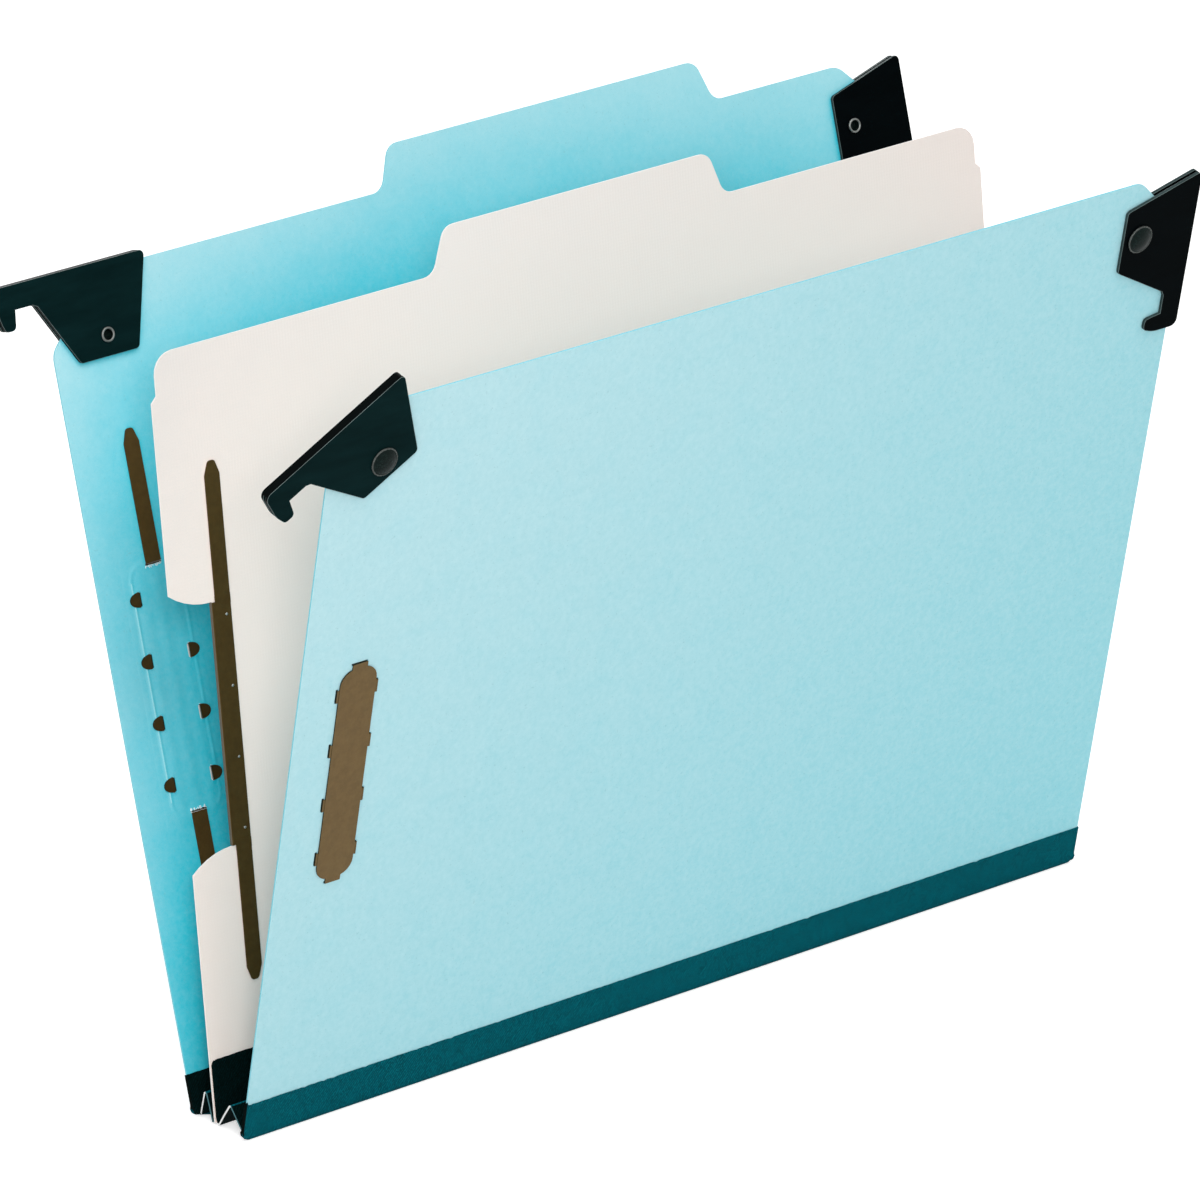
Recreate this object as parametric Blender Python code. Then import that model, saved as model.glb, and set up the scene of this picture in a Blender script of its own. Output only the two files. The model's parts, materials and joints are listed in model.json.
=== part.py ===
"""Hanging classification folder: two pressboard covers and a divider on a pleated tape gusset.

Each cover carries two swivelling hanger hooks and a prong fastener, and the divider carries
a channel fastener with prongs on both faces. Metres, +Z up, +X along the folds and +Y towards
the back cover. The origin is on the floor, under the middle of the divider's foot.
"""
import math

import bmesh
import bpy
from mathutils import Vector

# Covers
COVER_WIDTH = 0.2985
FRONT_HEIGHT = 0.2318
BACK_HEIGHT = 0.2340
BOARD_THICKNESS = 0.0006
CORNER_CUT = 0.0190
CORNER_CUT_ROUND = 0.0060
BACK_TAB_START = 0.1162
BACK_TAB_WIDTH = 0.1180
BACK_TAB_HEIGHT = 0.0123
TAB_SLANT_DEG = 20.0
TAB_ROUND = 0.0045

# Divider
DIVIDER_LEFT_INSET = 0.0012
DIVIDER_WIDTH = 0.2910
DIVIDER_HEIGHT = 0.2198
DIVIDER_THICKNESS = 0.0005
DIVIDER_CORNER_ROUND = 0.0060
DIVIDER_SIDE_STEP = 0.0018
DIVIDER_SIDE_STEP_DROP = 0.0116
DIVIDER_TAB_START = 0.0965
DIVIDER_TAB_WIDTH = 0.1020
DIVIDER_TAB_HEIGHT = 0.0130
NOTCH_DEPTH = 0.0140
NOTCH_LENGTH = 0.0698
NOTCH_CENTRE_HEIGHT = 0.1122
NOTCH_FLARE_RADIUS = 0.0220

# How the leaves stand
FRONT_LEAN_DEG = 14.4
BACK_LEAN_DEG = 13.0
DIVIDER_LEAN_DEG = 3.6
FRONT_FOOT_DISTANCE = 0.0144
BACK_FOOT_DISTANCE = 0.0084

# Gusset tape
TAPE_THICKNESS = 0.00035
TAPE_INSET = 0.0004
COVER_TAPE_OUTSIDE = 0.0104
COVER_TAPE_INSIDE = 0.0106
DIVIDER_TAPE_HEIGHT = 0.0185
PLEAT_LEG = 0.0093
PLEAT_ROOT_INSET = 0.0003
PLEAT_RIDGE_INSET = 0.0001
PLEAT_FACE_OFFSET = 0.00005
SOLE_THICKNESS = 0.0004
SOLE_TOE = 0.0009
SOLE_HEEL = 0.0016

# Hanger hooks, sizes from the rivet's centre with the hook swung out
HOOK_RIVET_EDGE = 0.0176
HOOK_LEAF = 0.0010
HOOK_FOLD_CLEARANCE = 0.0018
HOOK_FOLD = 0.0007
HOOK_REACH = 0.0331
HOOK_INNER_TOP = 0.0168
HOOK_INNER_BOTTOM = 0.0096
HOOK_HEEL_DROP = 0.0059
HOOK_HEEL_START = 0.0098
HOOK_NECK_START = 0.0204
RAIL_NOTCH_INNER = 0.0218
RAIL_NOTCH_OUTER = 0.0276
RAIL_NOTCH_HEIGHT = 0.0132
HOOK_TIP_INNER = 0.0284
HOOK_TIP_OUTER = 0.0317
HOOK_TIP_HEIGHT = 0.0077
HOOK_NOSE_HEIGHT = 0.0115
HOOK_NOSE_ROUND = 0.0100
HOOK_NECK_BREAK = 0.0007
HOOK_SHOULDER_ROUND = 0.0022
HOOK_HEEL_ROUND = 0.0014
HOOK_CORNER_ROUND = 0.0014
FRONT_LEFT_HOOK_DEG = 32.7
FRONT_RIGHT_HOOK_DEG = 90.0
BACK_LEFT_HOOK_DEG = 0.0
BACK_RIGHT_HOOK_DEG = 90.0

# Rivets
RIVET_SHANK_RADIUS = 0.0016
RIVET_HEAD_RADIUS = 0.00425
RIVET_HEAD_HEIGHT = 0.0011
RIVET_HEAD_RIM = 0.0002
RIVET_ROLL_RADIUS = 0.0026
RIVET_ROLL_HEIGHT = 0.0007
RIVET_BORE_RADIUS = 0.0011
RIVET_BORE_DEPTH = 0.0020

# Prong fasteners
FASTENER_FROM_EDGE = 0.0195
FASTENER_BELOW_TOP = 0.1169
PRONG_SPACING = 0.0698
PRONG_WIDTH = 0.0050
PRONG_TIP = 0.0040
PRONG_TIP_WIDTH = 0.0022
PRONG_TIP_ROUND = 0.0010
COVER_PRONG_LENGTH = 0.0378
DIVIDER_PRONG_LENGTH = 0.0395
FASTENER_SHEET = 0.00035
BASE_WIDTH = 0.0122
BASE_SHOULDER_ROUND = 0.0045
BASE_NECK_LENGTH = 0.0016
CLINCH_ROWS = 4
CLINCH_PITCH = 0.0174
CLINCH_TAB_LENGTH = 0.0040
CLINCH_TAB_REACH = 0.0033
CLINCH_STAND_OUT = 0.00075
CHANNEL_WIDTH = 0.0063

# Clearances
GLUE_GAP = 0.0001
SWIVEL_GAP = 0.00015
RUNNING_GAP = 0.0003
SLIT_CLEARANCE = 0.0002
UNION_OVERLAP = 0.00005

# Facets
ARC_STEPS = 5
ROUND_STEPS = 24
HOLE_STEPS = 16

# Places that follow from the sizes
COVER_HALF_SKIN = BOARD_THICKNESS / 2 + GLUE_GAP + TAPE_THICKNESS
DIVIDER_HALF_SKIN = DIVIDER_THICKNESS / 2 + GLUE_GAP + TAPE_THICKNESS
COVER_AXIS_HEIGHT = SOLE_THICKNESS + COVER_HALF_SKIN + RUNNING_GAP
PLEAT_AXIS_HEIGHT = SOLE_THICKNESS + TAPE_THICKNESS / 2
PLEAT_STAND_OFF = GLUE_GAP + TAPE_THICKNESS + RUNNING_GAP
DIVIDER_PLEAT_OFFSET = DIVIDER_HALF_SKIN + PLEAT_STAND_OFF
COVER_PLEAT_OFFSET = COVER_HALF_SKIN + PLEAT_STAND_OFF
DIVIDER_LEFT = -COVER_WIDTH / 2 + DIVIDER_LEFT_INSET
DIVIDER_RIGHT = DIVIDER_LEFT + DIVIDER_WIDTH
HOOK_GAP_HALF = BOARD_THICKNESS / 2 + SWIVEL_GAP
HOOK_HALF = HOOK_GAP_HALF + HOOK_LEAF
HOOK_FOLD_INSIDE = HOOK_RIVET_EDGE + HOOK_FOLD_CLEARANCE
HOOK_TOP = HOOK_FOLD_INSIDE + HOOK_FOLD
SHANK_HOLE_RADIUS = RIVET_SHANK_RADIUS + SLIT_CLEARANCE
FASTENER_X = -COVER_WIDTH / 2 + FASTENER_FROM_EDGE
COVER_METAL_LOW = BOARD_THICKNESS / 2 + GLUE_GAP
COVER_METAL_HIGH = COVER_METAL_LOW + FASTENER_SHEET
DIVIDER_METAL_LOW = DIVIDER_THICKNESS / 2 + GLUE_GAP
DIVIDER_METAL_HIGH = DIVIDER_METAL_LOW + FASTENER_SHEET
NOTCH_X = DIVIDER_LEFT + NOTCH_DEPTH
CHANNEL_X = NOTCH_X - GLUE_GAP - FASTENER_SHEET


def clear_scene():
    for old in list(bpy.data.objects):
        bpy.data.objects.remove(old, do_unlink=True)


def material(name, colour, roughness, metallic=0.0):
    made = bpy.data.materials.new(name)
    made.use_nodes = True
    shader = made.node_tree.nodes["Principled BSDF"]
    shader.inputs["Base Color"].default_value = (*colour, 1.0)
    shader.inputs["Roughness"].default_value = roughness
    shader.inputs["Metallic"].default_value = metallic
    return made


# Outlines

def arc(centre, radius, start, end, steps):
    """Points of an arc, both ends included, angles in radians."""
    points = []
    for step in range(steps + 1):
        angle = start + (end - start) * step / steps
        points.append((centre[0] + radius * math.cos(angle), centre[1] + radius * math.sin(angle)))
    return points


def rounded(corners):
    """A closed outline through (u, v, radius) corners, each turned by an arc of its radius."""
    points = []
    count = len(corners)
    for index, (u, v, radius) in enumerate(corners):
        here = Vector((u, v))
        before = (Vector(corners[index - 1][:2]) - here).normalized()
        after = (Vector(corners[(index + 1) % count][:2]) - here).normalized()
        if radius <= 0.0:
            points.append((u, v))
            continue
        half = before.angle(after) / 2
        centre = here + (before + after).normalized() * radius / math.sin(half)
        first = here + before * radius / math.tan(half) - centre
        last = here + after * radius / math.tan(half) - centre
        start = math.atan2(first.y, first.x)
        turn = math.atan2(last.y, last.x) - start
        turn = (turn + math.pi) % (2 * math.pi) - math.pi
        points += arc(centre, radius, start, start + turn, ARC_STEPS)
    return points


def rectangle(u, v, width, height):
    """Corners of a rectangle round its centre."""
    return [
        (u - width / 2, v - height / 2),
        (u + width / 2, v - height / 2),
        (u + width / 2, v + height / 2),
        (u - width / 2, v + height / 2),
    ]


def circle(u, v, radius, steps):
    return arc((u, v), radius, 0.0, 2 * math.pi * (steps - 1) / steps, steps - 1)


def tab_corners(start, width, base, height):
    """A slanted tab on a top edge, met from its right end to its left."""
    slant = height * math.tan(math.radians(TAB_SLANT_DEG))
    top = base + height
    return [
        (start + width, base, TAB_ROUND),
        (start + width - slant, top, TAB_ROUND),
        (start + slant, top, TAB_ROUND),
        (start, base, TAB_ROUND),
    ]


# Solids

def place(name, bm, parent, surface, smooth=False):
    """Turn a bmesh into a named object under its parent."""
    bmesh.ops.recalc_face_normals(bm, faces=bm.faces)
    mesh = bpy.data.meshes.new(name)
    bm.to_mesh(mesh)
    bm.free()
    made = bpy.data.objects.new(name, mesh)
    bpy.context.scene.collection.objects.link(made)
    made.parent = parent
    if surface is not None:
        mesh.materials.append(surface)
    if smooth:
        mesh.shade_smooth()
        mesh.set_sharp_from_angle(angle=math.radians(35))
    return made


def add_prism(bm, loops, to_point, along):
    """Fill the first loop less the others, and extrude it along a vector."""
    edges = []
    for loop in loops:
        ring = [bm.verts.new(to_point(u, v)) for u, v in loop]
        edges += [bm.edges.new((ring[i - 1], ring[i])) for i in range(len(ring))]
    filled = bmesh.ops.triangle_fill(bm, use_beauty=True, use_dissolve=False, edges=edges)
    faces = [item for item in filled["geom"] if isinstance(item, bmesh.types.BMFace)]
    grown = bmesh.ops.extrude_face_region(bm, geom=faces)
    moved = [item for item in grown["geom"] if isinstance(item, bmesh.types.BMVert)]
    bmesh.ops.translate(bm, verts=moved, vec=along)


def add_plate(bm, loops, low, high):
    """A plate whose loops are in X and Z, between two values of Y."""
    add_prism(bm, loops, lambda u, v: (u, low, v), Vector((0, high - low, 0)))


def add_strip(bm, profile, start, end):
    """A bar whose profile is in Y and Z, between two values of X."""
    add_prism(bm, [profile], lambda u, v: (start, u, v), Vector((end - start, 0, 0)))


def add_post(bm, profile, low, high):
    """A bar whose profile is in X and Y, between two values of Z."""
    add_prism(bm, [profile], lambda u, v: (u, v, low), Vector((0, 0, high - low)))


def boolean(target, tool, operation):
    """Cut or join one object with another, which stays as a hidden guide."""
    tool.hide_render = True
    tool.display_type = "WIRE"
    modifier = target.modifiers.new(tool.name, "BOOLEAN")
    modifier.operation = operation
    modifier.solver = "EXACT"
    modifier.object = tool


def pivot(name, location, lean_deg, parent=None):
    """An empty on a hinge line, turned about X."""
    made = bpy.data.objects.new(name, None)
    bpy.context.scene.collection.objects.link(made)
    made.parent = parent
    made.location = location
    made.rotation_euler = (math.radians(lean_deg), 0, 0)
    return made


# Boards and sheet

def fastener_holes(centre_height):
    """Clinch slits and prong slots of a cover, round the fastener's centre."""
    holes = []
    slit_width = FASTENER_SHEET + 2 * SLIT_CLEARANCE
    slit_length = CLINCH_TAB_LENGTH + 2 * SLIT_CLEARANCE
    for side in (-1, 1):
        for row in range(CLINCH_ROWS):
            height = centre_height + (row - (CLINCH_ROWS - 1) / 2) * CLINCH_PITCH
            across = FASTENER_X + side * clinch_web_centre()
            holes.append(rectangle(across, height, slit_width, slit_length))
        slot_height = centre_height + side * PRONG_SPACING / 2
        slot_width = PRONG_WIDTH + 2 * SLIT_CLEARANCE
        holes.append(rectangle(FASTENER_X, slot_height, slot_width, slit_width))
    return holes


def clinch_web_centre():
    """Distance of a clinch tab's root from the fastener's centre line."""
    return BASE_WIDTH / 2 + CLINCH_STAND_OUT - FASTENER_SHEET / 2


def cover_board(name, parent, height, tab, surface):
    half = COVER_WIDTH / 2
    top = height - COVER_AXIS_HEIGHT
    corners = [
        (-half, 0.0, 0.0),
        (half, 0.0, 0.0),
        (half, top - CORNER_CUT, CORNER_CUT_ROUND),
        (half - CORNER_CUT, top, CORNER_CUT_ROUND),
    ]
    if tab:
        corners += tab_corners(-half + BACK_TAB_START, BACK_TAB_WIDTH, top, BACK_TAB_HEIGHT)
    corners += [
        (-half + CORNER_CUT, top, CORNER_CUT_ROUND),
        (-half, top - CORNER_CUT, CORNER_CUT_ROUND),
    ]
    loops = [rounded(corners)]
    for side in (-1, 1):
        rivet_x = side * (half - HOOK_RIVET_EDGE)
        loops.append(circle(rivet_x, top - HOOK_RIVET_EDGE, SHANK_HOLE_RADIUS, HOLE_STEPS))
    loops += fastener_holes(top - FASTENER_BELOW_TOP)
    bm = bmesh.new()
    add_plate(bm, loops, -BOARD_THICKNESS / 2, BOARD_THICKNESS / 2)
    return place(name, bm, parent, surface)


def notch_outline():
    """The notch in the divider's left edge, met from its top end to its bottom end."""
    reach = math.asin(NOTCH_DEPTH / NOTCH_FLARE_RADIUS)
    upper = NOTCH_CENTRE_HEIGHT + NOTCH_LENGTH / 2
    lower = NOTCH_CENTRE_HEIGHT - NOTCH_LENGTH / 2
    down = -math.pi / 2
    over = arc((NOTCH_X, upper + NOTCH_FLARE_RADIUS), NOTCH_FLARE_RADIUS, down - reach, down, ARC_STEPS)
    under = arc((NOTCH_X, lower - NOTCH_FLARE_RADIUS), NOTCH_FLARE_RADIUS, -down, reach - down, ARC_STEPS)
    return over + under


def divider_sheet(parent, surface):
    step_low = DIVIDER_HEIGHT - DIVIDER_SIDE_STEP_DROP - DIVIDER_SIDE_STEP
    step_high = DIVIDER_HEIGHT - DIVIDER_SIDE_STEP_DROP
    tab_start = DIVIDER_LEFT + DIVIDER_TAB_START
    foot = SOLE_THICKNESS + GLUE_GAP
    right_side = [
        (DIVIDER_LEFT, foot, 0.0),
        (DIVIDER_RIGHT, foot, 0.0),
        (DIVIDER_RIGHT, step_low, 0.0),
        (DIVIDER_RIGHT - DIVIDER_SIDE_STEP, step_high, 0.0),
        (DIVIDER_RIGHT - DIVIDER_SIDE_STEP, DIVIDER_HEIGHT, DIVIDER_CORNER_ROUND),
    ]
    left_side = [
        (DIVIDER_LEFT + DIVIDER_SIDE_STEP, DIVIDER_HEIGHT, DIVIDER_CORNER_ROUND),
        (DIVIDER_LEFT + DIVIDER_SIDE_STEP, step_high, 0.0),
        (DIVIDER_LEFT, step_low, 0.0),
    ]
    tab = tab_corners(tab_start, DIVIDER_TAB_WIDTH, DIVIDER_HEIGHT, DIVIDER_TAB_HEIGHT)
    outline = rounded(right_side + tab + left_side) + notch_outline()
    bm = bmesh.new()
    add_plate(bm, [outline], -DIVIDER_THICKNESS / 2, DIVIDER_THICKNESS / 2)
    return place("divider_sheet", bm, parent, surface)


# Gusset

def cover_tape(name, parent, inside, surface):
    """Tape wrapped round a cover's lower edge: one band outside and one inside."""
    wall = BOARD_THICKNESS / 2 + GLUE_GAP
    skin = COVER_HALF_SKIN
    heel = GLUE_GAP + TAPE_THICKNESS
    corners = [
        (-skin, COVER_TAPE_OUTSIDE, 0.0),
        (-skin, -heel, heel),
        (skin, -heel, heel),
        (skin, COVER_TAPE_INSIDE, 0.0),
        (wall, COVER_TAPE_INSIDE, 0.0),
        (wall, -GLUE_GAP, 0.0),
        (-wall, -GLUE_GAP, 0.0),
        (-wall, COVER_TAPE_OUTSIDE, 0.0),
    ]
    profile = [(inside * y, z) for y, z in rounded(corners)]
    half = COVER_WIDTH / 2 - TAPE_INSET
    bm = bmesh.new()
    add_strip(bm, profile, -half, half)
    return place(name, bm, parent, surface)


def divider_tape(parent, surface):
    """Tape wrapped round the divider's lower edge, with a flat sole that runs out to both pleats."""
    lean = math.tan(math.radians(DIVIDER_LEAN_DEG))
    wall = DIVIDER_THICKNESS / 2 + GLUE_GAP
    skin = DIVIDER_HALF_SKIN
    sole = DIVIDER_PLEAT_OFFSET + TAPE_THICKNESS
    upright = [
        (sole, 0.0),
        (sole, SOLE_THICKNESS),
        (skin, SOLE_THICKNESS),
        (skin, DIVIDER_TAPE_HEIGHT),
        (wall, DIVIDER_TAPE_HEIGHT),
        (wall, SOLE_THICKNESS),
    ]
    profile = upright + [(-y, z) for y, z in reversed(upright)]
    leaning = [(y + z * lean, z) for y, z in profile]
    bm = bmesh.new()
    add_strip(bm, leaning, DIVIDER_LEFT + TAPE_INSET, DIVIDER_RIGHT - TAPE_INSET)
    return place("divider_tape", bm, parent, surface)


def pleat(prefix, side, foot_distance, surface):
    """One pleat and its foot fold. side is -1 towards the front cover and 1 towards the back cover."""
    foot_axis = foot_distance - COVER_PLEAT_OFFSET
    spread = foot_axis - DIVIDER_PLEAT_OFFSET
    angle = math.asin(spread / 2 / PLEAT_LEG)
    half = COVER_WIDTH / 2
    near = -side * PLEAT_FACE_OFFSET
    far = near - side * TAPE_THICKNESS
    root = PLEAT_ROOT_INSET
    ridge = PLEAT_LEG - PLEAT_RIDGE_INSET

    inner = bmesh.new()
    inner_profile = [(near, root), (far, root), (far, ridge), (near, ridge)]
    add_strip(inner, inner_profile, -half, half)
    inner_leg = place(prefix + "_pleat_inner", inner, None, surface)
    inner_leg.location = (0, side * DIVIDER_PLEAT_OFFSET, PLEAT_AXIS_HEIGHT)
    inner_leg.rotation_euler = (-side * angle, 0, 0)

    outer = bmesh.new()
    outer_profile = [(-y, z - PLEAT_LEG) for y, z in inner_profile]
    add_strip(outer, outer_profile, -half, half)
    outer_leg = place(prefix + "_pleat_outer", outer, None, surface)
    peak_y = side * (DIVIDER_PLEAT_OFFSET + spread / 2)
    outer_leg.location = (0, peak_y, PLEAT_AXIS_HEIGHT + PLEAT_LEG * math.cos(angle))
    outer_leg.rotation_euler = (side * angle, 0, 0)

    fold = bmesh.new()
    toe = side * (COVER_PLEAT_OFFSET + SOLE_TOE)
    heel = -side * SOLE_HEEL
    under = -PLEAT_AXIS_HEIGHT
    over = SOLE_THICKNESS - PLEAT_AXIS_HEIGHT
    add_strip(fold, [(heel, under), (toe, under), (toe, over), (heel, over)], -half, half)
    foot = place(prefix + "_foot_fold", fold, None, surface)
    foot.location = (0, side * foot_axis, PLEAT_AXIS_HEIGHT)


# Hanger hooks and rivets

def hook(name, parent, hand, height, turned_deg, surface):
    """A folded two-leaf hook. hand is -1 on the left and 1 on the right; it turns down to the side edge."""
    outline = [
        (HOOK_REACH, HOOK_TOP, HOOK_SHOULDER_ROUND),
        (-HOOK_INNER_TOP, HOOK_TOP, HOOK_CORNER_ROUND),
        (-HOOK_INNER_BOTTOM, -HOOK_HEEL_DROP, HOOK_CORNER_ROUND),
        (HOOK_HEEL_START, -HOOK_HEEL_DROP, HOOK_HEEL_ROUND),
        (HOOK_NECK_START, RAIL_NOTCH_HEIGHT - HOOK_NECK_BREAK, 0.0),
        (RAIL_NOTCH_INNER, RAIL_NOTCH_HEIGHT, 0.0),
        (RAIL_NOTCH_OUTER, RAIL_NOTCH_HEIGHT, 0.0),
        (HOOK_TIP_INNER, HOOK_TIP_HEIGHT, HOOK_CORNER_ROUND),
        (HOOK_TIP_OUTER, HOOK_TIP_HEIGHT, HOOK_CORNER_ROUND),
        (HOOK_REACH, HOOK_NOSE_HEIGHT, HOOK_NOSE_ROUND),
    ]
    loop = [(hand * u, v) for u, v in rounded(outline)]
    hole = circle(0.0, 0.0, SHANK_HOLE_RADIUS, HOLE_STEPS)
    bm = bmesh.new()
    add_plate(bm, [loop, hole], -HOOK_HALF, HOOK_HALF)
    made = place(name, bm, parent, surface)
    made.location = (hand * (COVER_WIDTH / 2 - HOOK_RIVET_EDGE), 0, height - HOOK_RIVET_EDGE)
    made.rotation_euler = (0, hand * math.radians(turned_deg), 0)

    slot = bmesh.new()
    low = -2 * HOOK_TOP
    span = rectangle(0.0, (low + HOOK_FOLD_INSIDE) / 2, 4 * HOOK_REACH, HOOK_FOLD_INSIDE - low)
    add_plate(slot, [span], -HOOK_GAP_HALF, HOOK_GAP_HALF)
    cutter = place(name + ".board_slot", slot, made, None)
    boolean(made, cutter, "DIFFERENCE")
    return made


def rivet(name, parent, hand, height, inside, surface):
    """A tubular rivet: a domed head outside and a rolled end inside, turned about the swivel's axis."""
    seat = HOOK_HALF + GLUE_GAP
    head_top = seat + RIVET_HEAD_HEIGHT
    roll_top = seat + RIVET_ROLL_HEIGHT
    roll_round = RIVET_ROLL_HEIGHT / 2
    head_round = RIVET_HEAD_HEIGHT - RIVET_HEAD_RIM
    shoulder = RIVET_HEAD_RADIUS - head_round
    head = arc((shoulder, -seat - RIVET_HEAD_RIM), head_round, -math.pi / 2, 0.0, ARC_STEPS)
    roll_centre = (RIVET_ROLL_RADIUS - roll_round, roll_top - roll_round)
    roll = arc(roll_centre, roll_round, 0.0, math.pi / 2, ARC_STEPS)
    profile = [(0.0, -head_top)]
    profile += head
    profile += [(RIVET_HEAD_RADIUS, -seat)]
    profile += [(RIVET_SHANK_RADIUS, -seat), (RIVET_SHANK_RADIUS, seat)]
    profile += [(RIVET_ROLL_RADIUS, seat)]
    profile += roll
    profile += [(RIVET_BORE_RADIUS, roll_top - roll_round)]
    profile += [(RIVET_BORE_RADIUS, roll_top - RIVET_BORE_DEPTH), (0.0, roll_top - RIVET_BORE_DEPTH)]
    bm = bmesh.new()
    chain = [bm.verts.new((r, inside * y, 0.0)) for r, y in profile]
    edges = [bm.edges.new(pair) for pair in zip(chain, chain[1:])]
    bmesh.ops.spin(
        bm,
        geom=chain + edges,
        cent=(0, 0, 0),
        axis=(0, 1, 0),
        angle=2 * math.pi,
        steps=ROUND_STEPS,
        use_merge=True,
    )
    bmesh.ops.remove_doubles(bm, verts=bm.verts, dist=1e-6)
    made = place(name, bm, parent, surface, smooth=True)
    made.location = (hand * (COVER_WIDTH / 2 - HOOK_RIVET_EDGE), 0, height - HOOK_RIVET_EDGE)
    return made


# Prong fasteners

def prong_outline(length):
    """A flat prong that stands up from its bend line, with a tapered, rounded tip."""
    half = PRONG_WIDTH / 2
    tip_half = PRONG_TIP_WIDTH / 2
    root = FASTENER_SHEET / 2 + GLUE_GAP
    return rounded([
        (-half, root, 0.0),
        (half, root, 0.0),
        (half, length - PRONG_TIP, PRONG_TIP_ROUND),
        (tip_half, length, PRONG_TIP_ROUND),
        (-tip_half, length, PRONG_TIP_ROUND),
        (-half, length - PRONG_TIP, PRONG_TIP_ROUND),
    ])


def prong(name, parent, x, height, up, low, high, length, surface):
    """A prong on a face between two values of Y, with its origin on the bend line. up is 1 or -1."""
    middle = (low + high) / 2
    outline = [(u, up * v) for u, v in prong_outline(length)]
    bm = bmesh.new()
    add_plate(bm, [outline], low - middle, high - middle)
    made = place(name, bm, parent, surface)
    made.location = (x, middle, height)
    return made


def base_outline():
    """The fastener bar, with round shoulders that run into a neck at each end."""
    half = BASE_WIDTH / 2
    neck = PRONG_WIDTH / 2
    tip = PRONG_SPACING / 2 + FASTENER_SHEET / 2
    turn = math.acos(1 - (half - neck) / BASE_SHOULDER_ROUND)
    shoulder_height = tip - BASE_NECK_LENGTH - BASE_SHOULDER_ROUND * math.sin(turn)
    centre = (half - BASE_SHOULDER_ROUND, shoulder_height)
    quarter = [(neck, tip)]
    quarter += arc(centre, BASE_SHOULDER_ROUND, turn, 0.0, ARC_STEPS)
    right = quarter + [(u, -v) for u, v in reversed(quarter)]
    return right + [(-u, v) for u, v in reversed(right)]


def fastener_base(name, parent, centre_height, inside, surface):
    """A cover's fastener bar: outside, with clinch tabs and both prong necks through the board."""
    outside = sorted((-inside * COVER_METAL_LOW, -inside * COVER_METAL_HIGH))
    within = sorted((inside * COVER_METAL_LOW, inside * COVER_METAL_HIGH))
    bm = bmesh.new()
    add_plate(bm, [base_outline()], *outside)
    bar = place(name, bm, parent, surface)
    bar.location = (FASTENER_X, 0, centre_height)

    roots = bmesh.new()
    webs = bmesh.new()
    flaps = bmesh.new()
    root_ends = sorted((
        -inside * (COVER_METAL_LOW + UNION_OVERLAP),
        -inside * (COVER_METAL_HIGH - 2 * UNION_OVERLAP),
    ))
    root_start = BASE_WIDTH / 2 - UNION_OVERLAP
    root_length = clinch_web_centre() - root_start
    web_ends = sorted((
        -inside * (COVER_METAL_HIGH - UNION_OVERLAP),
        inside * (COVER_METAL_LOW + UNION_OVERLAP),
    ))
    for side in (-1, 1):
        for row in range(CLINCH_ROWS):
            height = (row - (CLINCH_ROWS - 1) / 2) * CLINCH_PITCH
            web = rectangle(side * clinch_web_centre(), height, FASTENER_SHEET, CLINCH_TAB_LENGTH)
            add_plate(webs, [web], *web_ends)
            root_centre = side * (root_start + root_length / 2)
            root = rectangle(root_centre, height, root_length, CLINCH_TAB_LENGTH - 2 * UNION_OVERLAP)
            add_plate(roots, [root], *root_ends)
            add_plate(flaps, [clinch_flap(side, height)], *within)
        neck_end = side * PRONG_SPACING / 2
        neck_width = PRONG_WIDTH - 2 * UNION_OVERLAP
        neck_web = rectangle(0.0, neck_end, neck_width, FASTENER_SHEET - 2 * UNION_OVERLAP)
        neck_ends = sorted((web_ends[0] if inside > 0 else web_ends[1], inside * COVER_METAL_HIGH))
        add_plate(webs, [neck_web], *neck_ends)
    for tool, part in ((roots, "roots"), (webs, "webs"), (flaps, "flaps")):
        guide = place(name + "." + part, tool, bar, None)
        boolean(bar, guide, "UNION")
    return bar


def clinch_flap(side, height):
    """A D-shaped clinch tab, bent outward from its slit."""
    root = clinch_web_centre() - FASTENER_SHEET / 2 - UNION_OVERLAP
    half = CLINCH_TAB_LENGTH / 2 + UNION_OVERLAP
    straight = FASTENER_SHEET + 2 * UNION_OVERLAP
    bow = CLINCH_TAB_REACH - straight
    points = [(side * root, height - half)]
    for step in range(2 * ARC_STEPS + 1):
        angle = math.pi * (step / (2 * ARC_STEPS) - 0.5)
        points.append((side * (root + straight + bow * math.cos(angle)), height + half * math.sin(angle)))
    points.append((side * root, height + half))
    return points


def divider_channel(parent, surface):
    """A strip folded round the notch's edge, lying on both faces of the divider."""
    low = DIVIDER_METAL_LOW
    high = DIVIDER_METAL_HIGH
    end = CHANNEL_X + CHANNEL_WIDTH
    corners = [
        (end, -high, 0.0),
        (end, -low, 0.0),
        (NOTCH_X - GLUE_GAP, -low, 0.0),
        (NOTCH_X - GLUE_GAP, low, 0.0),
        (end, low, 0.0),
        (end, high, 0.0),
        (CHANNEL_X, high, FASTENER_SHEET),
        (CHANNEL_X, -high, FASTENER_SHEET),
    ]
    half = NOTCH_LENGTH / 2 - GLUE_GAP
    bm = bmesh.new()
    add_post(bm, rounded(corners), NOTCH_CENTRE_HEIGHT - half, NOTCH_CENTRE_HEIGHT + half)
    return place("divider_fastener_channel", bm, parent, surface)


# Leaves

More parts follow.
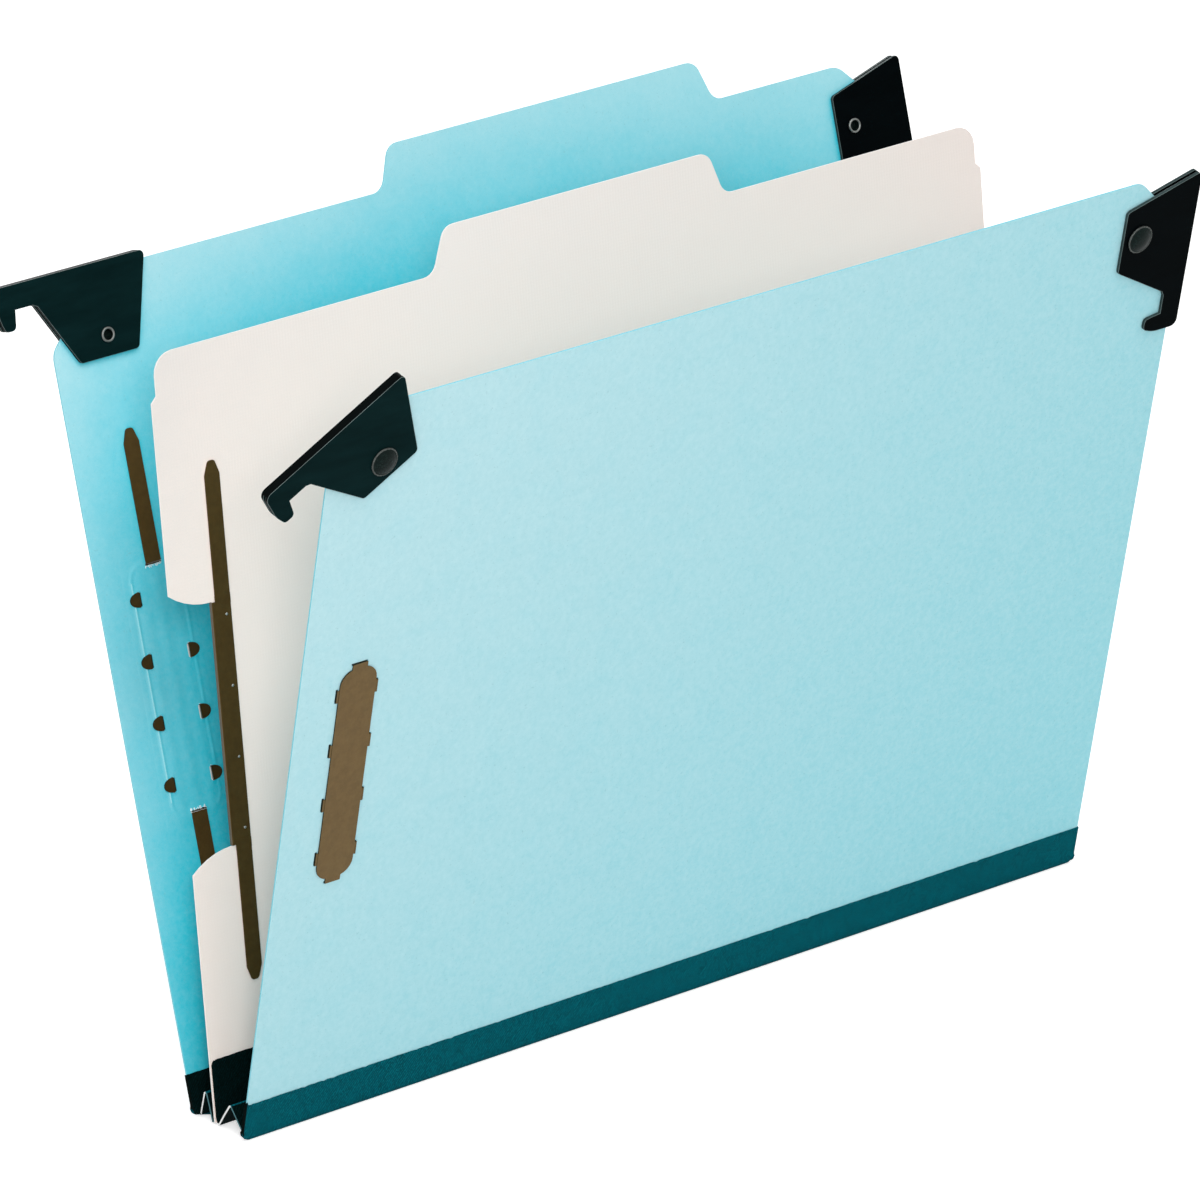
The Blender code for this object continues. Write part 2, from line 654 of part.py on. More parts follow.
def cover(prefix, side, height, lean_deg, foot_distance, tab, hook_turns, looks):
    """A cover with its tape, hooks, rivets and fastener. side is -1 for the front and 1 for the back."""
    inside = -side
    top = height - COVER_AXIS_HEIGHT
    hinge = pivot(prefix + "_cover_hinge", (0, side * foot_distance, COVER_AXIS_HEIGHT), lean_deg)
    cover_board(prefix + "_cover_board", hinge, height, tab, looks["board"])
    cover_tape(prefix + "_cover_tape", hinge, inside, looks["tape"])
    for hand, word in ((-1, "left"), (1, "right")):
        hook(f"{prefix}_{word}_hook", hinge, hand, top, hook_turns[word], looks["hook"])
        rivet(f"{prefix}_{word}_rivet", hinge, hand, top, inside, looks["rivet"])
    centre = top - FASTENER_BELOW_TOP
    fastener_base(prefix + "_fastener_base", hinge, centre, inside, looks["metal"])
    for up, word in ((1, "upper"), (-1, "lower")):
        bend = centre + up * PRONG_SPACING / 2
        low, high = sorted((inside * COVER_METAL_LOW, inside * COVER_METAL_HIGH))
        name = f"{prefix}_cover_prong_{word}"
        prong(name, hinge, FASTENER_X, bend, up, low, high, COVER_PRONG_LENGTH, looks["metal"])


def divider(looks):
    """The divider with its tape, channel and four prongs."""
    lean = pivot("divider_lean", (0, 0, 0), -DIVIDER_LEAN_DEG)
    divider_sheet(lean, looks["sheet"])
    divider_tape(None, looks["tape"])
    divider_channel(lean, looks["metal"])
    centre_x = CHANNEL_X + CHANNEL_WIDTH - PRONG_WIDTH / 2
    for side, face in ((-1, "front"), (1, "rear")):
        low, high = sorted((side * DIVIDER_METAL_LOW, side * DIVIDER_METAL_HIGH))
        for up, word in ((1, "upper"), (-1, "lower")):
            bend = NOTCH_CENTRE_HEIGHT + up * NOTCH_LENGTH / 2
            name = f"divider_{face}_prong_{word}"
            prong(name, lean, centre_x, bend, up, low, high, DIVIDER_PRONG_LENGTH, looks["metal"])


def main():
    clear_scene()
    looks = {
        "board": material("pale_blue_pressboard", (0.40, 0.72, 0.79), 0.75),
        "sheet": material("cream_paper", (0.82, 0.79, 0.75), 0.85),
        "tape": material("dark_green_tape", (0.004, 0.075, 0.085), 0.6),
        "hook": material("black_nylon", (0.004, 0.012, 0.014), 0.45),
        "rivet": material("dark_steel", (0.10, 0.09, 0.08), 0.3, 1.0),
        "metal": material("bronzed_steel", (0.18, 0.12, 0.05), 0.4, 1.0),
    }
    front_turns = {"left": FRONT_LEFT_HOOK_DEG, "right": FRONT_RIGHT_HOOK_DEG}
    back_turns = {"left": BACK_LEFT_HOOK_DEG, "right": BACK_RIGHT_HOOK_DEG}
    divider(looks)
    pleat("front", -1, FRONT_FOOT_DISTANCE, looks["tape"])
    pleat("rear", 1, BACK_FOOT_DISTANCE, looks["tape"])
    cover("front", -1, FRONT_HEIGHT, FRONT_LEAN_DEG, FRONT_FOOT_DISTANCE, False, front_turns, looks)
    cover("back", 1, BACK_HEIGHT, -BACK_LEAN_DEG, BACK_FOOT_DISTANCE, True, back_turns, looks)


main()
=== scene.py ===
"""Looks of the hanging classification folder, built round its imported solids. Metres, +Z up."""
import json
import math
import random

import bmesh
import bpy
from mathutils import Matrix, Vector


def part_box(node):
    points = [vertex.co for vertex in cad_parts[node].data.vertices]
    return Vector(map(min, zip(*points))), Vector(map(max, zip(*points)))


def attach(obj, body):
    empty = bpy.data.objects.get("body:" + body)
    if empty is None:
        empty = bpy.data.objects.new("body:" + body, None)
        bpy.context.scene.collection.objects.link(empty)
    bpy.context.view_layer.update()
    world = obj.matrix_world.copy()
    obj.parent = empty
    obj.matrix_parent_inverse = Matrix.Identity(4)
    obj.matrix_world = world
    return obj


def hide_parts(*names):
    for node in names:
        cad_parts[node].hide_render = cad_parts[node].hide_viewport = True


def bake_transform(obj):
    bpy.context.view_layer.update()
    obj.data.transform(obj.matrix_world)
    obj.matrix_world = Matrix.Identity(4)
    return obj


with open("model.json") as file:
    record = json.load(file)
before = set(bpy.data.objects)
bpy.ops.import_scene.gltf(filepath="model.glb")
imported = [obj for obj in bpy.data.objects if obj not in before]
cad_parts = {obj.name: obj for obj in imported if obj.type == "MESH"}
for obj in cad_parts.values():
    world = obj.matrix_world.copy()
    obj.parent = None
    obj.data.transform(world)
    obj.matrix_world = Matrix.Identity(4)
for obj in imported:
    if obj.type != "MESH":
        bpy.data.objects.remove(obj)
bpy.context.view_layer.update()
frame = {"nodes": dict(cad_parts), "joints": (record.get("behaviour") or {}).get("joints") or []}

# Camera, fitted to the photograph
PHOTO_SIZE = 1200
FOCAL_PIXELS = 10280
SENSOR = 36.0
AZIMUTH_DEG = -37.63
ELEVATION_DEG = 20.58
ROLL_DEG = -1.99
CAMERA_DISTANCE = 2.854
CAMERA_TARGET = Vector((-0.0086, 0.0, 0.1175))
CLIP_NEAR = 0.05
CLIP_FAR = 50.0

# Colours, linear
BOARD_BLUE = (0.445, 0.686, 0.732)
# Painted shade: a deeper blue towards a board's right end and bottom, also the colour of its specks
BOARD_SHADE_AND_SPECK = (0.290, 0.668, 0.742)
# Painted shade: the deeper blue in the pockets, also the deep end of the board's cloudy tone
BOARD_DEEP_TONE_AND_SHADE = (0.014, 0.530, 0.665)
BOARD_PALE = (0.740, 0.910, 0.940)
BOARD_EDGE = (0.230, 0.620, 0.720)
TORN_BOARD = (0.760, 0.900, 0.930)
# Painted highlight along the left ridge of the pressed relief
RIDGE_HIGHLIGHT_BOARD = (0.330, 0.750, 0.830)
# Painted shade at the divider's left end
SHEET_LEFT_SHADE = (0.680, 0.650, 0.625)
SHEET_CREAM = (0.860, 0.795, 0.765)
# Painted shade towards the divider's right end
SHEET_RIGHT_SHADE = (0.840, 0.720, 0.675)
# Painted shade, warmer, in the divider's pockets; also the darker tone of its linen grain
SHEET_GRAIN_TONE_AND_SHADE = (0.990, 0.825, 0.750)
SHEET_EDGE = (0.880, 0.850, 0.820)
TAPE_TEAL = (0.0008, 0.062, 0.082)
TAPE_TEAL_LIT = (0.0035, 0.185, 0.225)
TAPE_BLACK = (0.0006, 0.0042, 0.0036)
TAPE_BLACK_LIT = (0.0020, 0.0160, 0.0180)
TAPE_CORE = (0.880, 0.890, 0.880)
TAPE_CUT = (0.060, 0.180, 0.200)
NYLON_BLACK = (0.0024, 0.0120, 0.0126)
# Painted shade on the right-hand hooks
NYLON_SHADE_RIGHT = (0.0008, 0.0018, 0.0022)
# Painted shade on the hooks' side faces, turning to a painted highlight on the right-hand hooks
NYLON_SIDE_SHADE = (0.0010, 0.0020, 0.0021)
NYLON_RIGHT_SIDE_HIGHLIGHT = (0.030, 0.048, 0.049)
# Painted highlight on the hooks' rounded edges, which are also glossier
NYLON_EDGE_HIGHLIGHT = (0.090, 0.125, 0.122)
BRONZE = (0.138, 0.086, 0.032)
# Painted shade: a darker copy of the bronze for the metal inside the folder
BRONZE_INSIDE_SHADE = (0.080, 0.045, 0.0115)
# Painted highlight on the side faces of the divider's channel
BRONZE_SIDE_HIGHLIGHT = (0.120, 0.100, 0.075)
# Painted shade on the fastener's edges and on the left column of tab bends
BRONZE_RIM_SHADE = (0.018, 0.020, 0.012)
# Painted glint on the right column of tab bends and on the channel's dimples
GLINT_STEEL = (0.400, 0.395, 0.375)
LIP_STEEL = (0.205, 0.215, 0.205)
RIVET_DARK = (0.0035, 0.0080, 0.0072)
# Painted highlight round the rim of a rivet's dome
RIVET_RIM_HIGHLIGHT = (0.060, 0.066, 0.062)
FLOOR_WHITE = (0.720, 0.720, 0.720)

# Textures: the range that a noise keeps to, the reach of a corner's shade, and a Mix node's colour sockets
NOISE_RANGE = (0.3, 0.7)
NOOK_REACH = 0.11
MIX_FIRST = 6
MIX_SECOND = 7
MIX_RESULT = 2

# Clean meshes: distances that merge points, and the angle up to which faces are one
SOLID_MERGE = 1e-6
SPUN_MERGE = 1e-7
ONE_FACE_DEG = 0.5

# Edges: widths of the rounding, and angles from which an edge stays sharp
BOARD_BREAK = 0.00012
SHEET_BREAK = 0.00010
METAL_BREAK = 0.00007
HOOK_BREAK = 0.00045
SHARP_DEG = 30.0
SPUN_SHARP_DEG = 40.0
BENT_SHARP_DEG = 50.0
RELIEF_SHARP_DEG = 60.0

# How squarely a face looks along its leaf's normal, from 0 to 1
FLAT = 0.5
FLAT_STEEL = 0.9
FLAT_HOOK = 0.97
HOOK_SIDE = 0.2
HOLE_WALL = 0.1

# Rivets: a low dome, its rim, the shank and the lip round the bore
RIVET_CLEAR = 0.0001
RIVET_SIDES = 48
DOME_STEPS = 8
DOME_INSET = 0.0004
DOME_HEIGHT = 0.0006
DOME_POWER = 2.4
RIM_ROUND = 0.00028
RIM_SHOWN = 0.00032
RIM_TURNS = (0.3, 0.8, 1.3, 1.8, 2.4, 3.0)
SHANK_RADIUS = 0.0016
LIP_BORE = 0.0015
LIP_ROLL = 0.00032
LIP_TURNS = (-0.9, -0.4, 0.1, 0.6, 1.1, 1.6, 2.1, 2.6, 3.1)
BORE_FLOOR = ((1.0, 0.0006), (0.8, 0.0010), (0.0, 0.0011))

# Gusset: the divider's band, the pleats and the soles, with X stations closer together near their ends
GUSSET_THICKNESS = 0.00055
END_STATION = 0.00025
END_REACH = 0.0026
BAND_STAND = 0.00035
BAND_LOW = 0.002
BAND_NUDGE = 0.0001
BAND_ROUNDS = (0.0008, 0.0004, 0.0003)
BAND_BEND_STEPS = 4
BAND_CORNER = 0.0015
BAND_STATION = 0.0012
RIDGE_ROUND = 0.00060
FOOT_ROUND = 0.00034
TOE_REACH = 0.00026
TOE_LIFT = 0.00055
PLEAT_BEND_STEPS = 5
PLEAT_STATION = 0.006
SOLE_TOE = 0.0003
SOLE_INSET = 0.00105
SOLE_STATION = 0.01
HEEL_SHORT = 0.004
FOOT_CORNER = 0.0022

# Places along a pleat's path: its crest, where it turns down, and its toe
PLEAT_CREST = range(2, 5)
PLEAT_TURN = 4
PLEAT_TOE = 9

# Tape round the covers' feet, and the nicks along its cut edges
TAPED_FOOT = 0.0030
WRAP_THICKNESS = 0.00030
WRAP_CLEAR = 0.00003
WRAP_BULGE = 0.00105
WRAP_STRAIGHT = 0.0016
WRAP_BEND_STEPS = 10
WRAP_LIFT = 0.0012
WRAP_OVERHANG = 0.0005
WRAP_STATION = 0.0011
FRAY = 0.00012
NICK_DEPTH = 2.2
NICK_ABOVE = 0.95

# Pressed relief round a fastener, and the torn fibres at its slots
RELIEF_HALF_WIDTH = 0.0082
RELIEF_END = 0.0006
RELIEF_ROUND = 0.0045
RELIEF_RIDGE = 0.00016
RELIEF_RIDGE_WIDTH = 0.00045
RELIEF_STEP = 0.00005
RELIEF_SLOPE = 0.001
RELIEF_WAVE = 0.00004
RELIEF_WAVE_LENGTH = 0.0052
RELIEF_BURR = 0.00010
RELIEF_BURR_REACH = 0.0004
RELIEF_MARGIN = 0.0035
RELIEF_SUNK = 0.00015
RELIEF_MESH = 0.0004
RELIEF_MESH_TALL = 1.6
RELIEF_LIFT = 0.00003
SLOT_WIDTH = 0.003
FLAKES = 11
FLAKE_LAP = 0.0001
FLAKE_HALF_WIDTHS = (0.00025, 0.00055)
FLAKE_LENGTHS = (0.0003, 0.0009)
FLAKE_LIFTS = (0.00025, 0.00050)
FLAKE_CURL = 0.3
FLAKE_DROOP = 0.6

# Clinch tabs, the channel's dimples and the roots of the divider's prongs
TAB_BEND = 0.00042
TAB_BEND_SHARE = 0.84
TAB_BEND_SIDES = 12
DIMPLES = 4
DIMPLE_PITCH = 0.0204
DIMPLE_PLACE = 0.74
DIMPLE_RADIUS = 0.0004
DIMPLE_HEIGHT = 0.00014
DIMPLE_SUNK = 0.0001
DIMPLE_STEPS = 4
DIMPLE_SIDES = 16
BRIDGE_LAP = 0.0012
BRIDGE_PROUD = 0.00002
BRIDGE_STEPS = 10

# Floor, world and lamps, each lamp with its place, size and power
FLOOR_LIFT = 0.56
FLOOR_HALF = 4.0
FLOOR_HEIGHT = -0.0002
WORLD_LIGHT = 0.52
MIDDLE = (0.0, 0.0, 0.12)
LAMPS = {
    "key": ((-1.10, -1.40, 1.02), 0.7, 16.0),
    "side": ((-1.70, -0.96, 0.52), 0.7, 3.0),
    "top": ((-0.30, -0.75, 1.85), 0.9, 14.0),
    "behind": ((1.10, 1.60, 1.10), 0.9, 13.0),
}


# Node trees

def tree(name):
    """A new material with its node tree and principled shader."""
    made = bpy.data.materials.new(name)
    made.use_nodes = True
    return made, made.node_tree, made.node_tree.nodes["Principled BSDF"]


def add(net, kind, **settings):
    """A new node in a tree, with its settings."""
    made = net.nodes.new("ShaderNode" + kind)
    for key, value in settings.items():
        setattr(made, key, value)
    return made


def place_texture(net, scale=(1.0, 1.0, 1.0), turn=(0.0, 0.0, 0.0)):
    """Object coordinates, stretched and turned."""
    where = add(net, "TexCoord")
    mapping = add(net, "Mapping")
    mapping.inputs["Scale"].default_value = scale
    mapping.inputs["Rotation"].default_value = turn
    net.links.new(where.outputs["Object"], mapping.inputs["Vector"])
    return mapping.outputs["Vector"]


def noise(net, vector, scale, detail, rough=0.6):
    made = add(net, "TexNoise")
    made.inputs["Scale"].default_value = scale
    made.inputs["Detail"].default_value = detail
    made.inputs["Roughness"].default_value = rough
    net.links.new(vector, made.inputs["Vector"])
    return made.outputs["Fac"]


def wave(net, vector, scale, distortion):
    made = add(net, "TexWave", wave_type="BANDS", bands_direction="X", wave_profile="SIN")
    made.inputs["Scale"].default_value = scale
    made.inputs["Distortion"].default_value = distortion
    net.links.new(vector, made.inputs["Vector"])
    return made.outputs["Fac"]


def ramp(net, value, low, high, from_value=0.0, to_value=1.0):
    """A value stretched from one range to another, and held at its ends."""
    made = add(net, "MapRange")
    made.inputs["From Min"].default_value = from_value
    made.inputs["From Max"].default_value = to_value
    made.inputs["To Min"].default_value = low
    made.inputs["To Max"].default_value = high
    net.links.new(value, made.inputs["Value"])
    return made.outputs["Result"]


def maths(net, operation, first, second):
    made = add(net, "Math", operation=operation)
    for slot, value in zip(made.inputs, (first, second)):
        if isinstance(value, (int, float)):
            slot.default_value = value
        else:
            net.links.new(value, slot)
    return made.outputs["Value"]


def blend_colours(net, factor, first, second):
    made = add(net, "Mix", data_type="RGBA")
    net.links.new(factor, made.inputs["Factor"])
    for slot, value in ((made.inputs[MIX_FIRST], first), (made.inputs[MIX_SECOND], second)):
        if isinstance(value, tuple):
            slot.default_value = (*value, 1.0)
        else:
            net.links.new(value, slot)
    return made.outputs[MIX_RESULT]


def shaded(colour, share):
    return tuple(part * share for part in colour)


def bump(net, height, shader, strength, distance):
    made = add(net, "Bump")
    made.inputs["Strength"].default_value = strength
    made.inputs["Distance"].default_value = distance
    net.links.new(height, made.inputs["Height"])
    net.links.new(made.outputs["Normal"], shader.inputs["Normal"])


def paint(net, shader, colour, rough, gloss):
    """Wire a colour and a roughness to a shader, and set its gloss."""
    net.links.new(colour, shader.inputs["Base Color"])
    net.links.new(rough, shader.inputs["Roughness"])
    shader.inputs["Specular IOR Level"].default_value = gloss


def painted_light_ramp(net, axis, low, high, start, stop):
    """Painted light and shade that change slowly along one axis of the folder, between two places on it."""
    where = add(net, "TexCoord")
    split = add(net, "SeparateXYZ")
    net.links.new(where.outputs["Object"], split.inputs["Vector"])
    return ramp(net, split.outputs[axis], low, high, start, stop)


def seen_directly(net):
    """1 for what the camera, mirrors and glass see, and 0 for what only lights the object."""
    path = add(net, "LightPath")
    seen = maths(net, "MAXIMUM", path.outputs["Is Camera Ray"], path.outputs["Is Glossy Ray"])
    return maths(net, "MAXIMUM", seen, path.outputs["Is Transmission Ray"])


def nook(net):
    """How deep a point lies in a pocket or corner, from 0 in the open to 1; it places painted shade."""
    made = add(net, "AmbientOcclusion", samples=8)
    made.inputs["Distance"].default_value = NOOK_REACH
    return maths(net, "SUBTRACT", 1.0, made.outputs["AO"])


# Materials

def pressboard(name, pocket_shade_share):
    """Calendered board: soft mottling, short fibres, a few specks, painted shade towards its right end and
    bottom, and, for the inside, a deeper blue painted shade in the pockets.
    """
    made, net, shader = tree(name)
    at = place_texture(net)
    along = place_texture(net, scale=(1.0, 1.0, 0.22), turn=(0.0, 0.6, 0.0))
    clouds = noise(net, at, scale=95.0, detail=3.0)
    mottle = noise(net, at, scale=560.0, detail=5.0, rough=0.7)
    fibre = noise(net, along, scale=2300.0, detail=2.0)
    speck = noise(net, at, scale=1500.0, detail=1.0)
    # Painted shade, deeper towards the board's right end and its bottom
    across = painted_light_ramp(net, "X", low=0.0, high=0.6, start=-0.15, stop=0.15)
    shade_towards_bottom = painted_light_ramp(net, "Z", low=0.4, high=0.0, start=0.0, stop=0.23)
    far = maths(net, "ADD", across, shade_towards_bottom)
    blue = blend_colours(net, far, BOARD_BLUE, BOARD_SHADE_AND_SPECK)
    shade = ramp(net, clouds, -0.04, 0.06, *NOISE_RANGE)
    # Painted shade: a deeper blue in the pockets
    if pocket_shade_share:
        pocket = ramp(net, nook(net), 0.0, pocket_shade_share, 0.14, 0.80)
        shade = maths(net, "ADD", pocket, shade)
    base = blend_colours(net, shade, blue, BOARD_DEEP_TONE_AND_SHADE)
    lit = ramp(net, mottle, 0.0, 0.08 if pocket_shade_share else 0.20, 0.35, 0.70)
    mixed = blend_colours(net, lit, base, BOARD_PALE)
    dark = ramp(net, speck, 0.0, 0.30, 0.66, 0.80)
    spotted = blend_colours(net, dark, mixed, shaded(BOARD_SHADE_AND_SPECK, 0.6))
    paint(net, shader, spotted, ramp(net, mottle, 0.72, 0.92, *NOISE_RANGE), gloss=0.12)
    height = maths(net, "ADD", mottle, maths(net, "MULTIPLY", fibre, 0.6))
    bump(net, height, shader, strength=0.25, distance=0.00008)
    return made


def cream_paper(name):
    """Heavy paper with a faint linen grain, painted shade at its left end and towards its right end, and a
    warmer painted shade in the pockets.
    """
    made, net, shader = tree(name)
    at = place_texture(net)
    upright = wave(net, place_texture(net), scale=330.0, distortion=2.5)
    turned = place_texture(net, turn=(0.0, math.pi / 2, 0.0))
    level = wave(net, turned, scale=330.0, distortion=2.5)
    clouds = noise(net, at, scale=60.0, detail=3.0)
    fibre = noise(net, at, scale=900.0, detail=4.0)
    linen = maths(net, "ADD", upright, level)
    # Painted shade at the divider's left end and towards its right end
    left_shade_fade = painted_light_ramp(net, "X", low=0.0, high=1.0, start=-0.15, stop=-0.05)
    right_shade_rise = painted_light_ramp(net, "X", low=0.0, high=1.0, start=-0.05, stop=0.14)
    cream = blend_colours(net, left_shade_fade, SHEET_LEFT_SHADE, SHEET_CREAM)
    cream = blend_colours(net, right_shade_rise, cream, SHEET_RIGHT_SHADE)
    # Painted shade, warmer, in the pockets
    pocket = ramp(net, nook(net), 0.0, 1.0, 0.05, 0.5)
    shade = maths(net, "ADD", pocket, ramp(net, clouds, -0.04, 0.06, *NOISE_RANGE))
    base = blend_colours(net, shade, cream, SHEET_GRAIN_TONE_AND_SHADE)
    grain = ramp(net, linen, 0.0, 0.05, 0.0, 2.0)
    grained = blend_colours(net, grain, base, shaded(SHEET_GRAIN_TONE_AND_SHADE, 0.7))
    paint(net, shader, grained, ramp(net, fibre, 0.74, 0.92, *NOISE_RANGE), gloss=0.12)
    bump(net, maths(net, "ADD", linen, fibre), shader, strength=0.12, distance=0.00006)
    return made


def woven_tape(name, colour, lit):
    """Cloth tape with a fine, uneven twill."""
    made, net, shader = tree(name)
    at = place_texture(net)
    slanted = place_texture(net, turn=(0.5, -0.75, 0.0))
    twill = wave(net, slanted, scale=450.0, distortion=5.0)
    weft = wave(net, place_texture(net), scale=600.0, distortion=3.0)
    patches = noise(net, at, scale=420.0, detail=6.0, rough=0.75)
    fuzz = noise(net, at, scale=1500.0, detail=2.0)
    thread = maths(net, "MULTIPLY", twill, maths(net, "ADD", weft, 0.8))
    wear_and_highlight = ramp(net, patches, 0.0, 1.0, *NOISE_RANGE)
    base = blend_colours(net, wear_and_highlight, shaded(colour, 0.7), shaded(colour, 1.35))
    raised = maths(net, "MULTIPLY", thread, ramp(net, fuzz, 0.1, 1.0, 0.35, 0.65))
    mixed = blend_colours(net, ramp(net, raised, 0.0, 0.8, 0.0, 1.4), base, lit)
    paint(net, shader, mixed, ramp(net, patches, 0.55, 0.8, *NOISE_RANGE), gloss=0.012)
    bump(net, thread, shader, strength=0.45, distance=0.00012)
    return made


def cut_core(name, colour):
    """The pale cut end of tape or sheet, with loose fibres; this look also gives the board's cut edges, torn
    board and the relief's painted ridge highlight.
    """
    made, net, shader = tree(name)
    at = place_texture(net)
    fibre = noise(net, at, scale=2600.0, detail=3.0)
    loose = ramp(net, fibre, 0.0, 1.0, *NOISE_RANGE)
    mixed = blend_colours(net, loose, shaded(colour, 0.86), colour)
    net.links.new(mixed, shader.inputs["Base Color"])
    shader.inputs["Roughness"].default_value = 0.9
    bump(net, fibre, shader, strength=0.3, distance=0.0001)
    return made


def moulded_nylon(name, colour, right_end_painted_light, gloss):
    """Satin moulded nylon with a fine spark-eroded grain, faint flow lines, and painted light that changes
    from the left-hand hooks to the right-hand ones.
    """
    made, net, shader = tree(name)
    at = place_texture(net)
    grain = noise(net, at, scale=2600.0, detail=3.0, rough=0.7)
    along = place_texture(net, scale=(0.2, 1.0, 1.0))
    flow = noise(net, along, scale=240.0, detail=3.0)
    # Painted light that changes from the left-hand hooks to the right-hand ones
    far = painted_light_ramp(net, "X", low=0.0, high=1.0, start=-0.1, stop=0.1)
    pale = blend_colours(net, far, shaded(colour, 1.25), shaded(right_end_painted_light, 1.25))
    deep = blend_colours(net, far, shaded(colour, 0.8), shaded(right_end_painted_light, 0.8))
    mixed = blend_colours(net, ramp(net, flow, 0.0, 1.0, *NOISE_RANGE), deep, pale)
    paint(net, shader, mixed, ramp(net, grain, 0.30, 0.46, *NOISE_RANGE), gloss=gloss)
    bump(net, grain, shader, strength=0.12, distance=0.00008)
    return made


def lacquered_steel(name, colour, metallic):
    """Bronze-lacquered sheet steel with rolling lines along its length."""
    made, net, shader = tree(name)
    at = place_texture(net)
    along = place_texture(net, scale=(1.0, 1.0, 0.03))
    lines = noise(net, along, scale=1700.0, detail=3.0)
    wear = noise(net, at, scale=420.0, detail=5.0, rough=0.7)
    mixed = blend_colours(net, ramp(net, wear, 0.0, 1.0, 0.35, 0.72),
                          shaded(colour, 0.88), shaded(colour, 1.12))
    paint(net, shader, mixed, ramp(net, lines, 0.36, 0.52, *NOISE_RANGE), gloss=0.15)
    shader.inputs["Metallic"].default_value = metallic
    bump(net, lines, shader, strength=0.06, distance=0.00005)
    return made


def blackened_steel(name, colour):
    """Glossy blackened rivet steel with faint turning marks."""
    made, net, shader = tree(name)
    at = place_texture(net)
    wear = noise(net, at, scale=1100.0, detail=4.0, rough=0.7)
    mixed = blend_colours(net, ramp(net, wear, 0.0, 1.0, 0.45, 0.8),
                          colour, shaded(colour, 1.9))
    paint(net, shader, mixed, ramp(net, wear, 0.16, 0.34, *NOISE_RANGE), gloss=0.06)
    shader.inputs["Metallic"].default_value = 0.4
    bump(net, wear, shader, strength=0.05, distance=0.00004)
    return made


LOOKS = {
    "board": pressboard("blue_pressboard", 0.0),
    "board_inside_painted_shade": pressboard("blue_pressboard_inside", 1.2),
    "board_edge": cut_core("cut_pressboard", BOARD_EDGE),
    "torn": cut_core("torn_pressboard", TORN_BOARD),
    "wear_and_highlight": cut_core("pressboard_ridge_highlight", RIDGE_HIGHLIGHT_BOARD),
    "sheet": cream_paper("cream_paper"),
    "sheet_edge": cut_core("cut_paper", SHEET_EDGE),
    "tape": woven_tape("teal_tape", TAPE_TEAL, TAPE_TEAL_LIT),
    "tape_inside": woven_tape("black_tape", TAPE_BLACK, TAPE_BLACK_LIT),
    # Painted shade: a darker black tape for the wraps' ends and plugs
    "tape_end_painted_shade": woven_tape("black_tape_painted_shade", shaded(TAPE_BLACK, 0.4), TAPE_BLACK),
    "core": cut_core("white_cut_tape", TAPE_CORE),
    "cut": cut_core("teal_cut_tape", TAPE_CUT),
    "nylon": moulded_nylon("black_nylon", NYLON_BLACK, NYLON_SHADE_RIGHT, 0.008),
    "nylon_side_painted_light": moulded_nylon("black_nylon_side", NYLON_SIDE_SHADE, NYLON_RIGHT_SIDE_HIGHLIGHT, 0.02),
    "nylon_edge_highlight": moulded_nylon("hook_edge_painted_highlight", NYLON_EDGE_HIGHLIGHT, NYLON_EDGE_HIGHLIGHT, 0.30),
    "bronze": lacquered_steel("bronze_steel", BRONZE, 0.35),
    "bronze_inside_shade": lacquered_steel("bronze_inside_shade_steel", BRONZE_INSIDE_SHADE, 0.25),
    # Painted shade: the fastener's tabs inside the cover are darker still
    "bronze_tab_shade": lacquered_steel("bronze_tab_shade_steel", shaded(BRONZE_INSIDE_SHADE, 0.7), 0.25),
    "bronze_side_highlight": lacquered_steel("channel_side_highlight_steel", BRONZE_SIDE_HIGHLIGHT, 0.4),
    "bronze_rim_shade": lacquered_steel("dark_rim_shade_steel", BRONZE_RIM_SHADE, 0.3),
    "painted_glint_steel": lacquered_steel("painted_glint_steel", GLINT_STEEL, 0.85),
    "lip_steel": lacquered_steel("rolled_lip_steel", LIP_STEEL, 0.85),
    "rivet": blackened_steel("black_steel", RIVET_DARK),
    "rivet_rim_highlight": blackened_steel("black_steel_rim_highlight", RIVET_RIM_HIGHLIGHT),
}


# Meshes

def joint(name):
    return next(item for item in frame["joints"] if item["name"] == name)


def new_object(name, data):
    """A new object in the scene."""
    made = bpy.data.objects.new(name, data)
    bpy.context.scene.collection.objects.link(made)
    return made


def finish_mesh(name, bm, looks, smooth_deg=SHARP_DEG):
    """Turn a bmesh into a named object with its materials."""
    mesh = bpy.data.meshes.new(name)
    bm.to_mesh(mesh)
    bm.free()
    for look in looks:
        mesh.materials.append(LOOKS[look])
    mesh.shade_smooth()
    mesh.set_sharp_from_angle(angle=math.radians(smooth_deg))
    return new_object(name, mesh)


def solid_of(node):
    """The CAD solid of a node, with its flat faces whole again."""
    bm = bmesh.new()
    bm.from_mesh(frame["nodes"][node].data)
    bmesh.ops.remove_doubles(bm, verts=bm.verts, dist=SOLID_MERGE)
    bmesh.ops.dissolve_limit(bm, angle_limit=math.radians(ONE_FACE_DEG), verts=bm.verts, edges=bm.edges)
    return bm


def break_edges(bm, width, segments):
    """Round the sharp edges."""
    limit = math.radians(SHARP_DEG)
    edges = [edge for edge in bm.edges if edge.is_manifold and edge.calc_face_angle() > limit]
    bmesh.ops.bevel(bm, geom=edges, offset=width, segments=segments, profile=0.5,
                    affect="EDGES", clamp_overlap=True)


